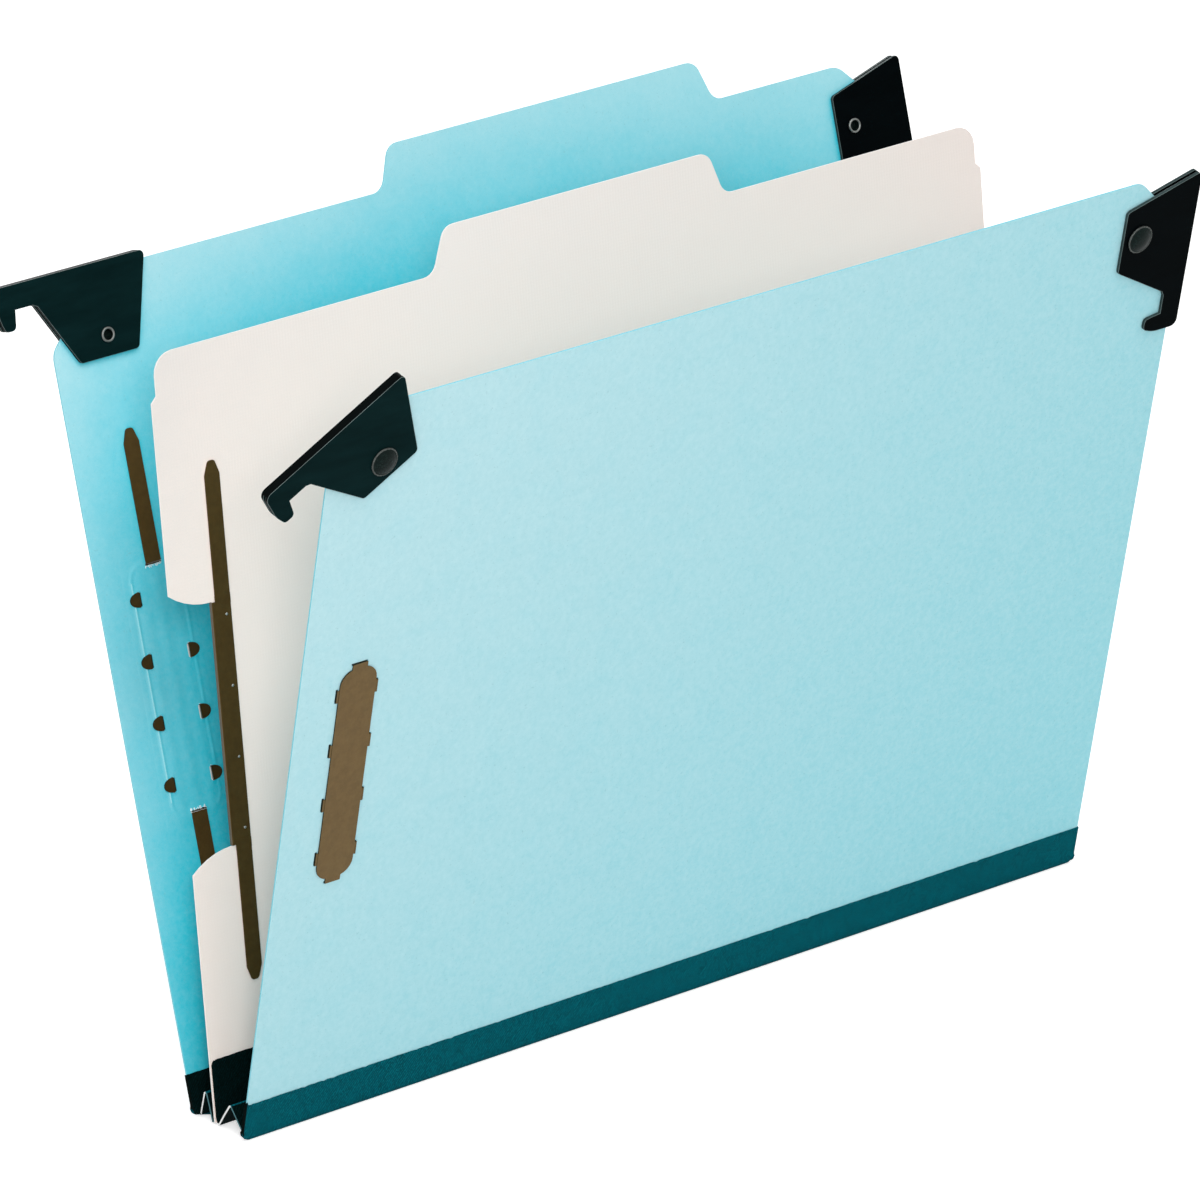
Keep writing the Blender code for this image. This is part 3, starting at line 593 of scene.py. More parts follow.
def dress(node, body, look, width, segments=2, split=None):
    """A node's solid with broken edges, and its faces parted at a plane of a point and a direction."""
    bm = solid_of(node)
    break_edges(bm, width, segments)
    if split:
        bmesh.ops.bisect_plane(bm, geom=bm.verts[:] + bm.edges[:] + bm.faces[:],
                               plane_co=split[0], plane_no=split[1])
    piece = finish_mesh(node + "_piece", bm, [look])
    piece.modifiers.new("flat_faces", "WEIGHTED_NORMAL").keep_sharp = True
    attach(piece, body)
    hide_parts(node)
    return piece


def repaint(piece, looks, choose):
    """More looks for a piece. choose(face) gives a look's number, 0 for the piece's own."""
    for look in looks:
        piece.data.materials.append(LOOKS[look])
    for face in piece.data.polygons:
        face.material_index = choose(face)


def leaf(board, origin):
    """Frame of a flat leaf: X along the folds, Y square to its faces towards the back, Z up its face."""
    mesh = frame["nodes"][board].data
    normal = max(mesh.polygons, key=lambda face: face.area).normal.copy()
    if normal.y < 0:
        normal.negate()
    across = Vector((1, 0, 0))
    made = Matrix((across, normal, across.cross(normal))).transposed().to_4x4()
    made.translation = Vector(origin)
    return made


def corners_of(points):
    """Lowest and highest corner of some points."""
    low = Vector(min(point[axis] for point in points) for axis in range(3))
    high = Vector(max(point[axis] for point in points) for axis in range(3))
    return low, high


def box_in(node, matrix):
    """Lowest and highest corner of a node, in a leaf's frame."""
    back = matrix.inverted()
    return corners_of([back @ vertex.co for vertex in frame["nodes"][node].data.vertices])


# Covers, divider, hooks and fasteners

FRONT = leaf("front_cover_board", joint("front_cover_swing")["pos_m"])
BACK = leaf("back_cover_board", joint("back_cover_swing")["pos_m"])
DIVIDER = leaf("divider_sheet", (0, 0, 0))

INSIDE = {"front": 1, "back": -1}
LEAVES = {"front": FRONT, "back": BACK}


def on_inside(cover, point):
    return INSIDE[cover] * (LEAVES[cover].inverted() @ point).y > 0


def facing(matrix, face):
    """How squarely a face looks along a leaf's normal, from 0 to 1."""
    return abs(face.normal.dot(matrix.to_3x3().col[1]))


def cover_board(cover):
    """A cover's board, which at its foot takes the look of the tape round it."""
    matrix = LEAVES[cover]
    level = matrix @ Vector((0.0, 0.0, TAPED_FOOT))
    up = matrix.to_3x3().col[2]
    piece = dress(cover + "_cover_board", cover + "_cover", "board", BOARD_BREAK,
                  split=(level, up))

    def choose(face):
        if (face.center - level).dot(up) < 0.0:
            return 3
        if facing(matrix, face) < FLAT:
            return 2
        return 1 if on_inside(cover, face.center) else 0

    repaint(piece, ["board_inside_painted_shade", "board_edge", "tape"], choose)


def divider_sheet():
    piece = dress("divider_sheet", "divider", "sheet", SHEET_BREAK)
    repaint(piece, ["sheet_edge"], lambda face: 0 if facing(DIVIDER, face) > FLAT else 1)


def fastener_base(cover):
    """The bar outside, its tabs inside in a darker painted shade, and their edges in a dark painted shade."""
    piece = dress(cover + "_fastener_base", cover + "_cover", "bronze", METAL_BREAK)

    def choose(face):
        flat = facing(LEAVES[cover], face) > FLAT_STEEL
        if on_inside(cover, face.center):
            return 1 if flat else 2
        return 0 if flat else 2

    repaint(piece, ["bronze_tab_shade", "bronze_rim_shade"], choose)


def divider_channel():
    # The channel takes the darker bronze of the metal inside the folder, a painted shade
    piece = dress("divider_fastener_channel", "divider", "bronze_inside_shade", METAL_BREAK)
    # Its side faces take a lighter painted highlight
    repaint(piece, ["bronze_side_highlight"], lambda face: 0 if facing(DIVIDER, face) > FLAT else 1)


def hook(cover, hand):
    """A folded nylon hook: satin faces, sides in painted shade that turns to a painted highlight on the
    right-hand hooks, and glossier edges with a painted highlight.
    """
    name = f"{cover}_{hand}_hook"
    piece = dress(name, name, "nylon", HOOK_BREAK, 3)

    def choose(face):
        square = facing(LEAVES[cover], face)
        if square > FLAT_HOOK:
            return 0
        return 1 if square < HOOK_SIDE else 2

    repaint(piece, ["nylon_side_painted_light", "nylon_edge_highlight"], choose)


def spun(name, profile, origin, axis, matrix, look, steps):
    """A turned solid from (radius, distance along the axis) pairs."""
    bm = bmesh.new()
    chain = [bm.verts.new((radius, along, 0.0)) for radius, along in profile]
    edges = [bm.edges.new(pair) for pair in zip(chain, chain[1:])]
    bmesh.ops.spin(bm, geom=chain + edges, cent=(0, 0, 0), axis=(0, 1, 0), angle=2 * math.pi,
                   steps=steps, use_merge=True)
    bmesh.ops.remove_doubles(bm, verts=bm.verts, dist=SPUN_MERGE)
    place = matrix @ Matrix.Translation(origin) @ Matrix.Diagonal((1.0, axis, 1.0, 1.0))
    bmesh.ops.transform(bm, matrix=place, verts=bm.verts)
    bmesh.ops.recalc_face_normals(bm, faces=bm.faces)
    return finish_mesh(name, bm, [look], SPUN_SHARP_DEG)


def rivet(cover, hand):
    """A tubular rivet with a low dome outside and a rolled lip round its bore inside; the dome's rim has a
    painted highlight.
    """
    node = f"{cover}_{hand}_rivet"
    low, high = box_in(node, LEAVES[cover])
    hook_high = box_in(f"{cover}_{hand}_hook", LEAVES[cover])[1]
    inside = INSIDE[cover]
    head = low.y if inside > 0 else -high.y
    lip = high.y if inside > 0 else -low.y
    seat = hook_high.y + RIVET_CLEAR
    radius = (high.x - low.x) / 2
    roll = (lip - seat) / 2
    profile = [(0.0, head)]
    for step in range(1, DOME_STEPS + 1):
        share = step / DOME_STEPS
        profile.append((share * (radius - DOME_INSET), head + DOME_HEIGHT * share ** DOME_POWER))
    rim = (radius - RIM_ROUND, -seat - RIM_ROUND)
    profile += [(rim[0] + RIM_ROUND * math.sin(turn), rim[1] - RIM_ROUND * math.cos(turn))
                for turn in RIM_TURNS]
    profile += [(SHANK_RADIUS, -seat), (SHANK_RADIUS, seat)]
    middle = (LIP_BORE + LIP_ROLL, seat + roll)
    profile += [(middle[0] + LIP_ROLL * math.cos(turn), middle[1] + roll * math.sin(turn))
                for turn in LIP_TURNS]
    profile += [(LIP_BORE * share, seat - depth) for share, depth in BORE_FLOOR]
    centre = Vector(((low.x + high.x) / 2, 0.0, (low.z + high.z) / 2))
    piece = spun(node + "_piece", profile, centre, inside, LEAVES[cover], "rivet", RIVET_SIDES)
    back = LEAVES[cover].inverted()

    def choose(face):
        place = back @ face.center - centre
        if inside * place.y > seat:
            return 1
        far = math.hypot(place.x, place.z)
        return 2 if inside * place.y < -seat and far > radius - RIM_SHOWN else 0

    repaint(piece, ["lip_steel", "rivet_rim_highlight"], choose)
    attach(piece, cover + "_cover")
    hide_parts(node)


for cover in ("front", "back"):
    cover_board(cover)
    fastener_base(cover)
    for hand in ("left", "right"):
        hook(cover, hand)
        rivet(cover, hand)
    for end in ("upper", "lower"):
        name = f"{cover}_cover_prong_{end}"
        # Prongs inside the folder take the darker bronze, a painted shade
        dress(name, name, "bronze_inside_shade", METAL_BREAK)
divider_sheet()
divider_channel()
for face in ("front", "rear"):
    for end in ("upper", "lower"):
        name = f"divider_{face}_prong_{end}"
        # The divider's prongs take the darker bronze, a painted shade
        dress(name, name, "bronze_inside_shade", METAL_BREAK)


# Gusset

def arc(centre, radius, start_deg, end_deg, steps):
    points = []
    for step in range(steps + 1):
        angle = math.radians(start_deg + (end_deg - start_deg) * step / steps)
        points.append((centre[0] + radius * math.cos(angle), centre[1] + radius * math.sin(angle)))
    return points


def bend(corners, steps):
    """An open path through (y, z, radius) corners, each turned by an arc of its radius."""
    points = [corners[0][:2]]
    for before, here, after in zip(corners, corners[1:], corners[2:]):
        corner = Vector(here[:2])
        back = (Vector(before[:2]) - corner).normalized()
        on = (Vector(after[:2]) - corner).normalized()
        half = back.angle(on) / 2
        centre = corner + (back + on).normalized() * here[2] / math.sin(half)
        first = corner + back * here[2] / math.tan(half) - centre
        last = corner + on * here[2] / math.tan(half) - centre
        start = math.degrees(math.atan2(first.y, first.x))
        turn = math.degrees(math.atan2(last.y, last.x)) - start
        turn = (turn + 180) % 360 - 180
        points += arc(centre, here[2], start, start + turn, steps)
    points.append(corners[-1][:2])
    return points


def offset_path(path, distance):
    """The path moved sideways, to its left for a positive distance."""
    moved = []
    for index, point in enumerate(path):
        before = Vector(path[max(index - 1, 0)])
        after = Vector(path[min(index + 1, len(path) - 1)])
        way = (after - before).normalized()
        moved.append(Vector(point) + Vector((-way.y, way.x)) * distance)
    return moved


def ribbon(name, path, thickness, span, looks, matrix=None, side_look=None, cut_look=None, shape=None,
           plug=None):
    """A strip that follows a path in Y and Z from the first to the last X station.

    side_look and cut_look give the look's number at a path place, for its faces and for its cut ends.
    shape(x, place, z) gives the place along X and the height of a point there. A plug closes the ends
    inside a path's curve, which lies to its left for 1 and to its right for -1, in the last look.
    """
    left = offset_path(path, thickness / 2)
    right = offset_path(path, -thickness / 2)
    profile = left + list(reversed(right))
    count = len(path)
    size = len(profile)
    places = list(range(count)) + list(reversed(range(count)))
    bm = bmesh.new()
    rings = []
    for x in span:
        ring = []
        for place, (y, z) in zip(places, profile):
            along, height = shape(x, place, z) if shape else (x, z)
            point = Vector((along, y, height))
            ring.append(bm.verts.new(matrix @ point if matrix else point))
        rings.append(ring)
    for first, second in zip(rings, rings[1:]):
        for index in range(size):
            following = (index + 1) % size
            face = bm.faces.new((first[index], first[following], second[following], second[index]))
            face.material_index = side_look(min(places[index], places[following])) if side_look else 0
    for ring in (rings[0], rings[-1]):
        for index in range(count - 1):
            other = size - 1 - index
            face = bm.faces.new((ring[index], ring[index + 1], ring[other - 1], ring[other]))
            face.material_index = cut_look(index) if cut_look else 0
        if plug:
            inner = ring[:count] if plug > 0 else ring[count:]
            face = bm.faces.new([bm.verts.new(vertex.co) for vertex in inner])
            face.material_index = len(looks) - 1
    bmesh.ops.recalc_face_normals(bm, faces=bm.faces)
    return finish_mesh(name, bm, looks, BENT_SHARP_DEG)


def stations(low, high, step):
    """X stations along a strip, closer together near its ends."""
    count = max(2, round((high - low) / step))
    near = [END_STATION * number for number in range(1, round(END_REACH / END_STATION))]
    inner = [low + (high - low) * number / count for number in range(count + 1)]
    inner = [x for x in inner if low + END_REACH <= x <= high - END_REACH]
    return [low] + [low + gap for gap in near] + inner + [high - gap for gap in reversed(near)] + [high]


def from_end(x, span):
    return min(x - span[0], span[-1] - x)


def corner_drop(gap, radius):
    """How far a rounded corner of this radius falls away at a distance from the end."""
    short = max(0.0, radius - gap)
    return radius - math.sqrt(max(0.0, radius ** 2 - short ** 2))


def frayed(seed, depth):
    """Small lifts and nicks along a cut edge of tape."""
    draw = random.Random(seed)
    table = {}

    def nick(x, end):
        key = (round(x, 6), end)
        if key not in table:
            drop = draw.random()
            table[key] = depth * (draw.random() - 0.5) - (NICK_DEPTH * depth if drop > NICK_ABOVE else 0.0)
        return table[key]

    return nick


def sheet_face():
    """Distance of the divider's faces from its middle."""
    low, high = box_in("divider_sheet", DIVIDER)
    return (high.y - low.y) / 2


def gusset_side(side, word, seed):
    """The divider's band, the pleat and the sole of one side. side is -1 in front and 1 behind."""
    half = GUSSET_THICKNESS / 2
    inner = joint(word + "_pleat_root")["pos_m"]
    ridge = joint(word + "_pleat_ridge")["pos_m"]
    fold_low, fold_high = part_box(word + "_foot_fold")
    toe_y = 2 * ridge[1] - inner[1]
    cover_y = (FRONT if side < 0 else BACK).translation.y
    band_low, band_high = box_in("divider_tape", DIVIDER)
    near_look = 1 if side < 0 else 2
    far_look = 2 if side < 0 else 1
    nick = frayed(seed, FRAY)

    # Band on the divider, round its foot and up to the middle of the pleat's first leg
    stand = side * (sheet_face() + BAND_STAND)
    top = DIVIDER @ Vector((0, stand, band_high.z))
    low = DIVIDER @ Vector((0, stand, BAND_LOW))
    middle = ((inner[1] + ridge[1]) / 2, (inner[2] + ridge[2]) / 2)
    turn_y = (low.y + inner[1]) / 2
    path = bend([
        (top.y, top.z, 0.0),
        (low.y, low.z, BAND_ROUNDS[0]),
        (turn_y + side * BAND_NUDGE, half, BAND_ROUNDS[1]),
        (inner[1] + side * BAND_NUDGE, half + BAND_NUDGE, BAND_ROUNDS[2]),
        (*middle, 0.0),
    ], BAND_BEND_STEPS)
    span = stations(band_low.x, band_high.x, BAND_STATION)
    right_change = fold_high.x - band_high.x
    last = len(path) - 1

    def band_shape(x, place, z):
        if place == 0:
            return x, z + nick(x, 0) - corner_drop(from_end(x, span), BAND_CORNER)
        share = (x - band_low.x) / (band_high.x - band_low.x)
        return x + (right_change * share if place == last else 0.0), z

    band = ribbon(f"{word}_divider_band", path, GUSSET_THICKNESS, span, ["tape_inside", "core", "cut"],
                  cut_look=lambda place: near_look if place > BAND_BEND_STEPS + 1 else 0, shape=band_shape)
    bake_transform(band)
    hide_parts(word + "_pleat_inner")

    # Pleat, from there over its ridge and down to the foot
    landing = half + TOE_LIFT
    path = bend([
        (*middle, 0.0),
        (ridge[1], ridge[2], RIDGE_ROUND),
        (toe_y, landing, FOOT_ROUND),
        (toe_y + side * TOE_REACH, landing, 0.0),
    ], PLEAT_BEND_STEPS)
    span = stations(band_low.x, fold_high.x, PLEAT_STATION)

    def pleat_cut(place):
        if place < PLEAT_TURN:
            return near_look
        return far_look if place < PLEAT_TOE else 0

    pleat = ribbon(f"{word}_pleat", path, GUSSET_THICKNESS, span, ["tape_inside", "core", "cut", "tape"],
                   side_look=lambda place: 3 if place in PLEAT_CREST else 0, cut_look=pleat_cut)
    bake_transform(pleat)
    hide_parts(word + "_pleat_outer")

    # Sole under the cover's foot
    flat = (fold_low.z + fold_high.z) / 2
    heel = fold_high.y if side < 0 else fold_low.y

    def sole_shape(x, place, z):
        gap = from_end(x, (fold_low.x, fold_high.x))
        short = HEEL_SHORT * x / fold_high.x if place else 0.0
        return x - short, max(z, fold_low.z + corner_drop(gap, FOOT_CORNER))

    sole = ribbon(f"{word}_sole", [(cover_y + side * SOLE_TOE, flat), (heel, flat)], fold_high.z - fold_low.z,
                  stations(fold_low.x + SOLE_INSET, fold_high.x - SOLE_INSET, SOLE_STATION), ["tape"],
                  shape=sole_shape)
    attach(sole, word + "_foot_fold")
    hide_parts(word + "_foot_fold")
    return band


def band_tops(name, matrix):
    """Height of a cover tape's band on each side of the board."""
    back = matrix.inverted()
    tops = {-1: 0.0, 1: 0.0}
    for vertex in frame["nodes"][name].data.vertices:
        point = back @ vertex.co
        side = 1 if point.y > 0 else -1
        tops[side] = max(tops[side], point.z)
    return tops


def cover_wrap(word, seed):
    """Tape round a cover's lower edge. Its bottom is a round fold on the hinge line."""
    matrix = LEAVES[word]
    inside = INSIDE[word]
    name = word + "_cover_tape"
    low, high = box_in(name, matrix)
    board_low, board_high = box_in(word + "_cover_board", matrix)
    skin = (board_high.y - board_low.y) / 2 + WRAP_CLEAR + WRAP_THICKNESS / 2
    bulge = WRAP_BULGE - WRAP_THICKNESS / 2
    tops = band_tops(name, matrix)
    path = [(-inside * skin, tops[-inside]), (-inside * skin, WRAP_STRAIGHT)]
    start = 180 if inside > 0 else 0
    path += arc((0.0, 0.0), bulge, start, start + inside * 180, WRAP_BEND_STEPS)
    path += [(inside * skin, WRAP_STRAIGHT), (inside * skin, tops[inside])]
    last = len(path) - 1
    span = stations(low.x - WRAP_OVERHANG, high.x + WRAP_OVERHANG, WRAP_STATION)
    nick = frayed(seed, FRAY)
    lift = WRAP_LIFT if word == "front" else 0.0

    def wrap_shape(x, place, z):
        if place == 0:
            return x, z + nick(x, 0) + corner_drop(x - span[0], lift)
        if place == last:
            return x, z + nick(x, 1)
        return x, max(z, corner_drop(from_end(x, span), FOOT_CORNER) - matrix.translation.z)

    # The cut ends and the plug take the darker black tape, a painted shade
    wrap = ribbon(f"{word}_wrap", path, WRAP_THICKNESS, span, ["tape", "tape_inside", "tape_end_painted_shade"], matrix,
                  side_look=lambda place: 1 if place > last // 2 else 0, cut_look=lambda place: 2,
                  shape=wrap_shape, plug=inside)
    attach(wrap, word + "_cover")
    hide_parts(name)


front_band = gusset_side(-1, "front", seed=3)
gusset_side(1, "rear", seed=4)
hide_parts("divider_tape")
cover_wrap("front", seed=5)
cover_wrap("back", seed=6)


# Fastener details

def holes_in(node, matrix):
    """Lowest and highest corner of each hole through a leaf, in its frame."""
    bm = solid_of(node)
    back = matrix.inverted()
    walls = {face for face in bm.faces if facing(matrix, face) < HOLE_WALL}
    found = []
    while walls:
        group = [walls.pop()]
        for face in group:
            near = {other for edge in face.edges for other in edge.link_faces} & walls
            walls -= near
            group += near
        found.append(corners_of([back @ vertex.co for face in group for vertex in face.verts]))
    bm.free()
    found.sort(key=lambda box: (box[0].z, box[0].x))
    return found


def rounded_box_distance(x, z, half_x, half_z, radius):
    """Distance from a rounded rectangle's outline, below 0 inside it."""
    gap_x = abs(x) - half_x + radius
    gap_z = abs(z) - half_z + radius
    return math.hypot(max(gap_x, 0.0), max(gap_z, 0.0)) + min(max(gap_x, gap_z), 0.0) - radius


def box_distance(x, z, low, high):
    return math.hypot(max(low.x - x, 0.0, x - high.x), max(low.z - z, 0.0, z - high.z))


def grid_lines(low, high, step, stops):
    """Even places from low to high, with a line on every stop."""
    count = math.ceil((high - low) / step)
    lines = {low + (high - low) * number / count for number in range(count + 1)}
    clear = {place for place in lines if all(abs(place - stop) > step / 3 for stop in stops)}
    return sorted(clear | {low, high} | {stop for stop in stops if low < stop < high})


def pressed_relief(cover):
    """The board round the fastener: pressed up inside along the die's outline, and burred at the slits."""
    matrix = LEAVES[cover]
    inside = INSIDE[cover]
    base_low, base_high = box_in(cover + "_fastener_base", matrix)
    board_low, board_high = box_in(cover + "_cover_board", matrix)
    centre_x = (base_low.x + base_high.x) / 2
    centre_z = (base_low.z + base_high.z) / 2
    half_z = (base_high.z - base_low.z) / 2 + RELIEF_END
    reach_x = RELIEF_HALF_WIDTH + RELIEF_MARGIN
    reach_z = half_z + RELIEF_MARGIN
    holes = [(low, high) for low, high in holes_in(cover + "_cover_board", matrix)
             if abs(low.x - centre_x) < reach_x and abs(high.x - centre_x) < reach_x
             and abs(low.z - centre_z) < reach_z and abs(high.z - centre_z) < reach_z]
    surface = board_high.y

    def height(x, z):
        out = rounded_box_distance(x - centre_x, z - centre_z, RELIEF_HALF_WIDTH, half_z, RELIEF_ROUND)
        raised = RELIEF_RIDGE * math.exp(-(out / RELIEF_RIDGE_WIDTH) ** 2)
        within = min(1.0, max(0.0, 0.5 - out / RELIEF_SLOPE))
        raised += RELIEF_STEP * within
        raised += RELIEF_WAVE * within * math.cos(2 * math.pi * (x - centre_x) / RELIEF_WAVE_LENGTH)
        hole = min(box_distance(x, z, low, high) for low, high in holes)
        raised += RELIEF_BURR * math.exp(-hole / RELIEF_BURR_REACH)
        edge = min(reach_x - abs(x - centre_x), reach_z - abs(z - centre_z))
        return surface + raised + RELIEF_LIFT * min(1.0, 2.0 * edge / RELIEF_SLOPE - 1.0)

    stops_x = {round(corner.x, 6) for box in holes for corner in box}
    stops_z = {round(corner.z, 6) for box in holes for corner in box}
    across = grid_lines(centre_x - reach_x, centre_x + reach_x, RELIEF_MESH, stops_x)
    upward = grid_lines(centre_z - reach_z, centre_z + reach_z, RELIEF_MESH_TALL * RELIEF_MESH, stops_z)
    bm = bmesh.new()
    rows = [[bm.verts.new((x, inside * height(x, z), z)) for x in across] for z in upward]
    for row, (low_row, high_row) in enumerate(zip(rows, rows[1:])):
        for column in range(len(across) - 1):
            x = (across[column] + across[column + 1]) / 2
            z = (upward[row] + upward[row + 1]) / 2
            if any(box_distance(x, z, low, high) == 0.0 for low, high in holes):
                continue
            bm.faces.new((low_row[column], low_row[column + 1], high_row[column + 1], high_row[column]))
    bmesh.ops.delete(bm, geom=[vertex for vertex in bm.verts if not vertex.link_faces], context="VERTS")
    grown = bmesh.ops.extrude_face_region(bm, geom=bm.faces[:], use_keep_orig=True)["geom"]
    for item in grown:
        if isinstance(item, bmesh.types.BMVert):
            item.co.y = inside * (surface - RELIEF_SUNK)
    bmesh.ops.transform(bm, matrix=matrix, verts=bm.verts)
    bmesh.ops.recalc_face_normals(bm, faces=bm.faces)
    back = matrix.inverted()
    for face in bm.faces:
        place = back @ face.calc_center_median()
        # A painted highlight on the ridge's left side
        straight = abs(place.z - centre_z) < half_z - RELIEF_ROUND
        on_ridge = abs(place.x - centre_x + RELIEF_HALF_WIDTH) < RELIEF_MESH / 2
        wear_and_highlight = 2 if straight and on_ridge else 0
        face.material_index = wear_and_highlight if facing(matrix, face) > FLAT else 1
    piece = finish_mesh(cover + "_pressed_relief", bm, ["board_inside_painted_shade", "torn", "wear_and_highlight"], RELIEF_SHARP_DEG)
    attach(piece, cover + "_cover")
    return holes, surface


def torn_fibres(cover, holes, surface, seed):
    """Small lifted flakes of board where the prongs come through."""
    matrix = LEAVES[cover]
    inside = INSIDE[cover]
    draw = random.Random(seed)
    slots = [box for box in holes if box[1].x - box[0].x > SLOT_WIDTH]
    middle = sum(box[0].z for box in slots) / len(slots)
    bm = bmesh.new()
    for low, high in slots:
        edge = low.z if low.z > middle else high.z
        way = -1 if low.z > middle else 1
        for flake in range(FLAKES):
            x = low.x + (high.x - low.x) * (flake + draw.random()) / FLAKES
            wide = draw.uniform(*FLAKE_HALF_WIDTHS)
            long = draw.uniform(*FLAKE_LENGTHS)
            lift = draw.uniform(*FLAKE_LIFTS)
            corners = [
                (x - wide, surface, edge + way * FLAKE_LAP),
                (x + wide, surface, edge + way * FLAKE_LAP),
                (x + draw.uniform(-1, 1) * wide, surface + lift, edge - way * long * FLAKE_CURL),
                (x + draw.uniform(-1, 1) * wide, surface + FLAKE_DROOP * lift, edge + way * long),
            ]
            bmesh.ops.convex_hull(bm, input=[bm.verts.new((u, inside * v, w)) for u, v, w in corners])
    bmesh.ops.transform(bm, matrix=matrix, verts=bm.verts)
    bmesh.ops.recalc_face_normals(bm, faces=bm.faces)
    piece = finish_mesh(cover + "_torn_fibres", bm, ["torn"])
    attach(piece, cover + "_cover")


def tab_bends(cover, holes, surface):
    """The bend of each clinch tab where it comes out of its slit: a painted glint on the right column of
    bends, painted shade on the left.
    """
    matrix = LEAVES[cover]
    inside = INSIDE[cover]
    slits = [(low, high) for low, high in holes if high.x - low.x < high.z - low.z]
    centre_x = sum(low.x + high.x for low, high in slits) / (2 * len(slits))
    # The left column of bends takes painted shade, the right column a painted glint
    for side, look in ((-1, "bronze_rim_shade"), (1, "painted_glint_steel")):
        bm = bmesh.new()
        for low, high in slits:
            x = low.x if side > 0 else high.x
            if side * (x - centre_x) < 0:
                continue
            middle = Vector((x, inside * surface, (low.z + high.z) / 2))
            bmesh.ops.create_cone(bm, cap_ends=True, segments=TAB_BEND_SIDES, radius1=TAB_BEND,
                                  radius2=TAB_BEND, depth=TAB_BEND_SHARE * (high.z - low.z),
                                  matrix=matrix @ Matrix.Translation(middle))
        hand = "right" if side > 0 else "left"
        piece = finish_mesh(f"{cover}_{hand}_tab_bends", bm, [look], BENT_SHARP_DEG)
        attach(piece, cover + "_cover")


def prong_root(face, end):
    """The bent strip between the divider's channel and a prong."""
    name = f"divider_{face}_prong_{end}"
    low, high = box_in(name, DIVIDER)
    channel_low, channel_high = box_in("divider_fastener_channel", DIVIDER)
    up = 1 if end == "upper" else -1
    first = channel_high.z if up > 0 else channel_low.z
    last = low.z if up > 0 else high.z
    y = (low.y + high.y) / 2
    start = first - up * BRIDGE_LAP
    stop = last + up * BRIDGE_LAP
    path = [(y, start + (stop - start) * step / BRIDGE_STEPS) for step in range(BRIDGE_STEPS + 1)]
    strip = ribbon(f"divider_{face}_root_{end}", path, high.y - low.y + 2 * BRIDGE_PROUD,
                   [low.x - BRIDGE_PROUD, high.x + BRIDGE_PROUD], ["bronze_inside_shade"], DIVIDER)
    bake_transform(strip)


def channel_dimples():
    """Small pips that hold the channel on the sheet."""
    low, high = box_in("divider_fastener_channel", DIVIDER)
    x = low.x + DIMPLE_PLACE * (high.x - low.x)
    z = (low.z + high.z) / 2
    profile = [(0.0, -DIMPLE_HEIGHT)]
    for step in range(1, DIMPLE_STEPS + 1):
        share = step / DIMPLE_STEPS
        profile.append((share * DIMPLE_RADIUS, -DIMPLE_HEIGHT * math.sqrt(max(0.0, 1 - share ** 2))))
    profile += [(DIMPLE_RADIUS, DIMPLE_SUNK), (0.0, DIMPLE_SUNK)]
    for row in range(DIMPLES):
        place = (x, low.y, z + (row - (DIMPLES - 1) / 2) * DIMPLE_PITCH)
        # The dimples take a painted glint
        pip = spun(f"channel_dimple_{row + 1}", profile, place, 1.0, DIVIDER, "painted_glint_steel", DIMPLE_SIDES)
        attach(pip, "divider")


for cover in ("front", "back"):
    openings, face_height = pressed_relief(cover)
    torn_fibres(cover, openings, face_height, seed=11)
    tab_bends(cover, openings, face_height)
for face in ("front", "rear"):
    for end in ("upper", "lower"):
        prong_root(face, end)
channel_dimples()


# Stage

def floor_look():
    """White floor that the camera and glossy surfaces see a little brighter, so that only shadows show."""
    made, net, shader = tree("white_floor")
    shader.inputs["Base Color"].default_value = (*FLOOR_WHITE, 1.0)
    shader.inputs["Roughness"].default_value = 0.95
    shader.inputs["Specular IOR Level"].default_value = 0.1
    seen = seen_directly(net)
    shader.inputs["Emission Color"].default_value = (1.0, 1.0, 1.0, 1.0)
    net.links.new(maths(net, "MULTIPLY", seen, FLOOR_LIFT), shader.inputs["Emission Strength"])
    return made


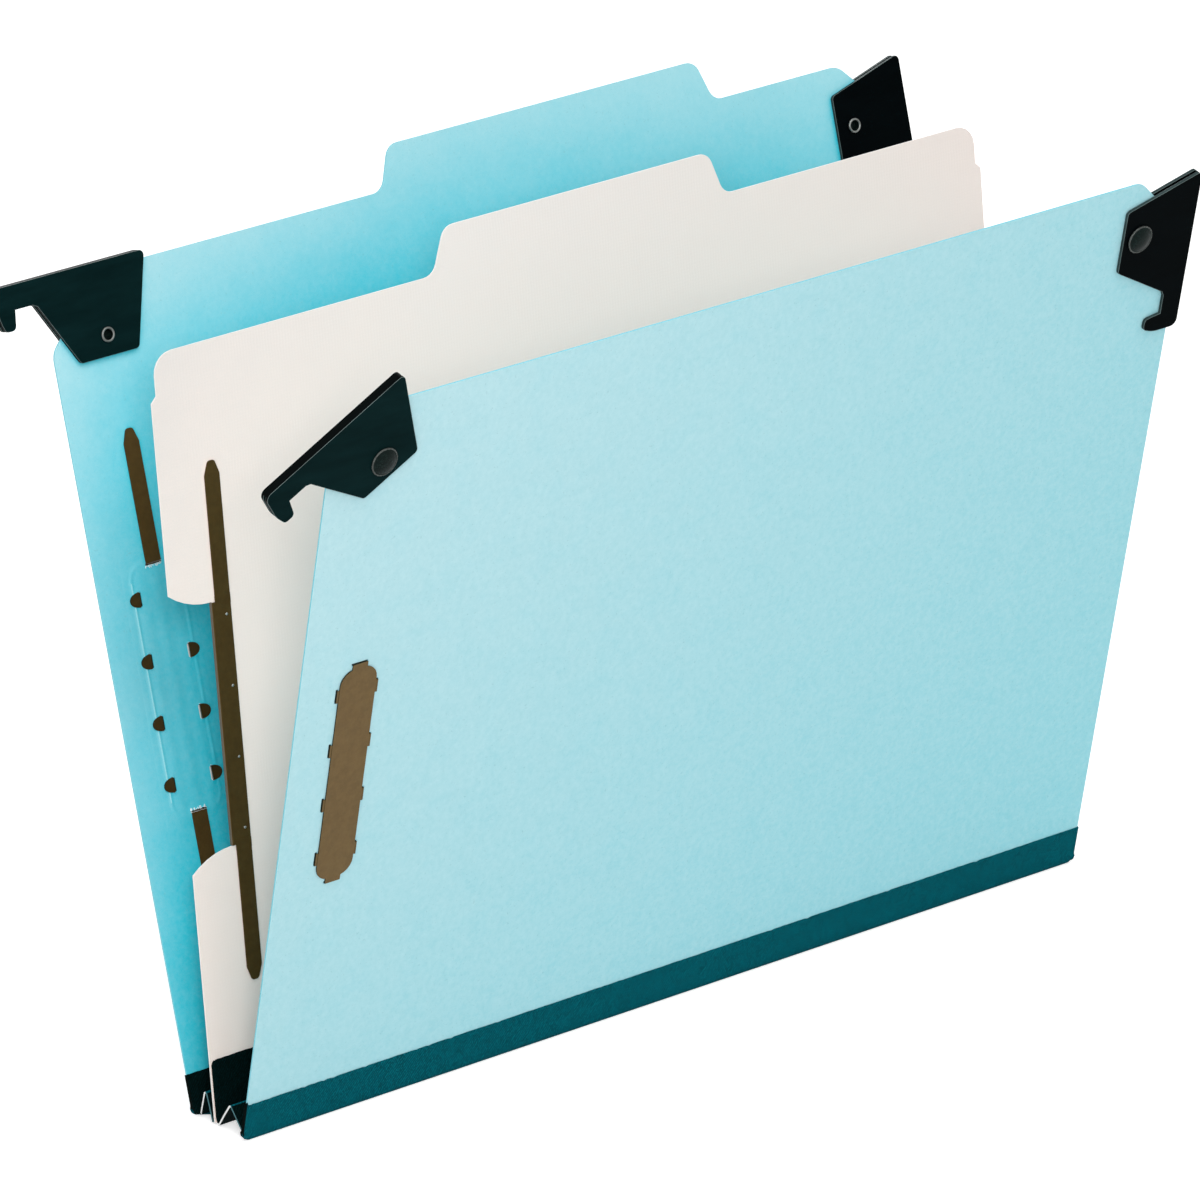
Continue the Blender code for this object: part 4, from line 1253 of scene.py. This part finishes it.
def white_floor():
    bm = bmesh.new()
    bmesh.ops.create_grid(bm, x_segments=1, y_segments=1, size=FLOOR_HALF)
    mesh = bpy.data.meshes.new("floor")
    bm.to_mesh(mesh)
    bm.free()
    mesh.materials.append(floor_look())
    floor = new_object("floor", mesh)
    floor.location.z = FLOOR_HEIGHT


def white_world():
    """Soft white light all round, seen as plain white."""
    world = bpy.data.worlds.new("white_room")
    world.use_nodes = True
    net = world.node_tree
    seen = seen_directly(net)
    back = net.nodes["Background"]
    back.inputs["Color"].default_value = (1.0, 1.0, 1.0, 1.0)
    net.links.new(ramp(net, seen, WORLD_LIGHT, 1.0), back.inputs["Strength"])
    bpy.context.scene.world = world


def soft_box(name, location, size, power):
    """A round lamp that looks at the middle of the folder."""
    light = bpy.data.lights.new(name, "AREA")
    light.shape = "DISK"
    light.size = size
    light.energy = power
    made = new_object(name, light)
    made.location = location
    made.rotation_mode = "QUATERNION"
    made.rotation_quaternion = (Vector(MIDDLE) - Vector(location)).to_track_quat("-Z", "Y")


def photo_camera():
    """The photograph's camera, from its angles and its distance to a point on the folder."""
    azimuth = math.radians(AZIMUTH_DEG)
    elevation = math.radians(ELEVATION_DEG)
    roll = math.radians(ROLL_DEG)
    level = math.cos(elevation)
    back = Vector((math.sin(azimuth) * level, -math.cos(azimuth) * level, math.sin(elevation)))
    right = Vector((math.cos(azimuth), math.sin(azimuth), 0.0))
    up = back.cross(right)
    turned_right = math.cos(roll) * right + math.sin(roll) * up
    turned_up = -math.sin(roll) * right + math.cos(roll) * up
    data = bpy.data.cameras.new("photo_camera")
    data.sensor_width = SENSOR
    data.lens = FOCAL_PIXELS / PHOTO_SIZE * SENSOR
    data.clip_start = CLIP_NEAR
    data.clip_end = CLIP_FAR
    made = new_object("photo_camera", data)
    pose = Matrix((turned_right, turned_up, back)).transposed().to_4x4()
    pose.translation = CAMERA_TARGET + back * CAMERA_DISTANCE
    made.matrix_world = pose
    bpy.context.scene.camera = made


white_floor()
white_world()
for lamp, (place, size, power) in LAMPS.items():
    soft_box(lamp, place, size, power)
photo_camera()
bpy.context.scene.view_settings.view_transform = "Standard"
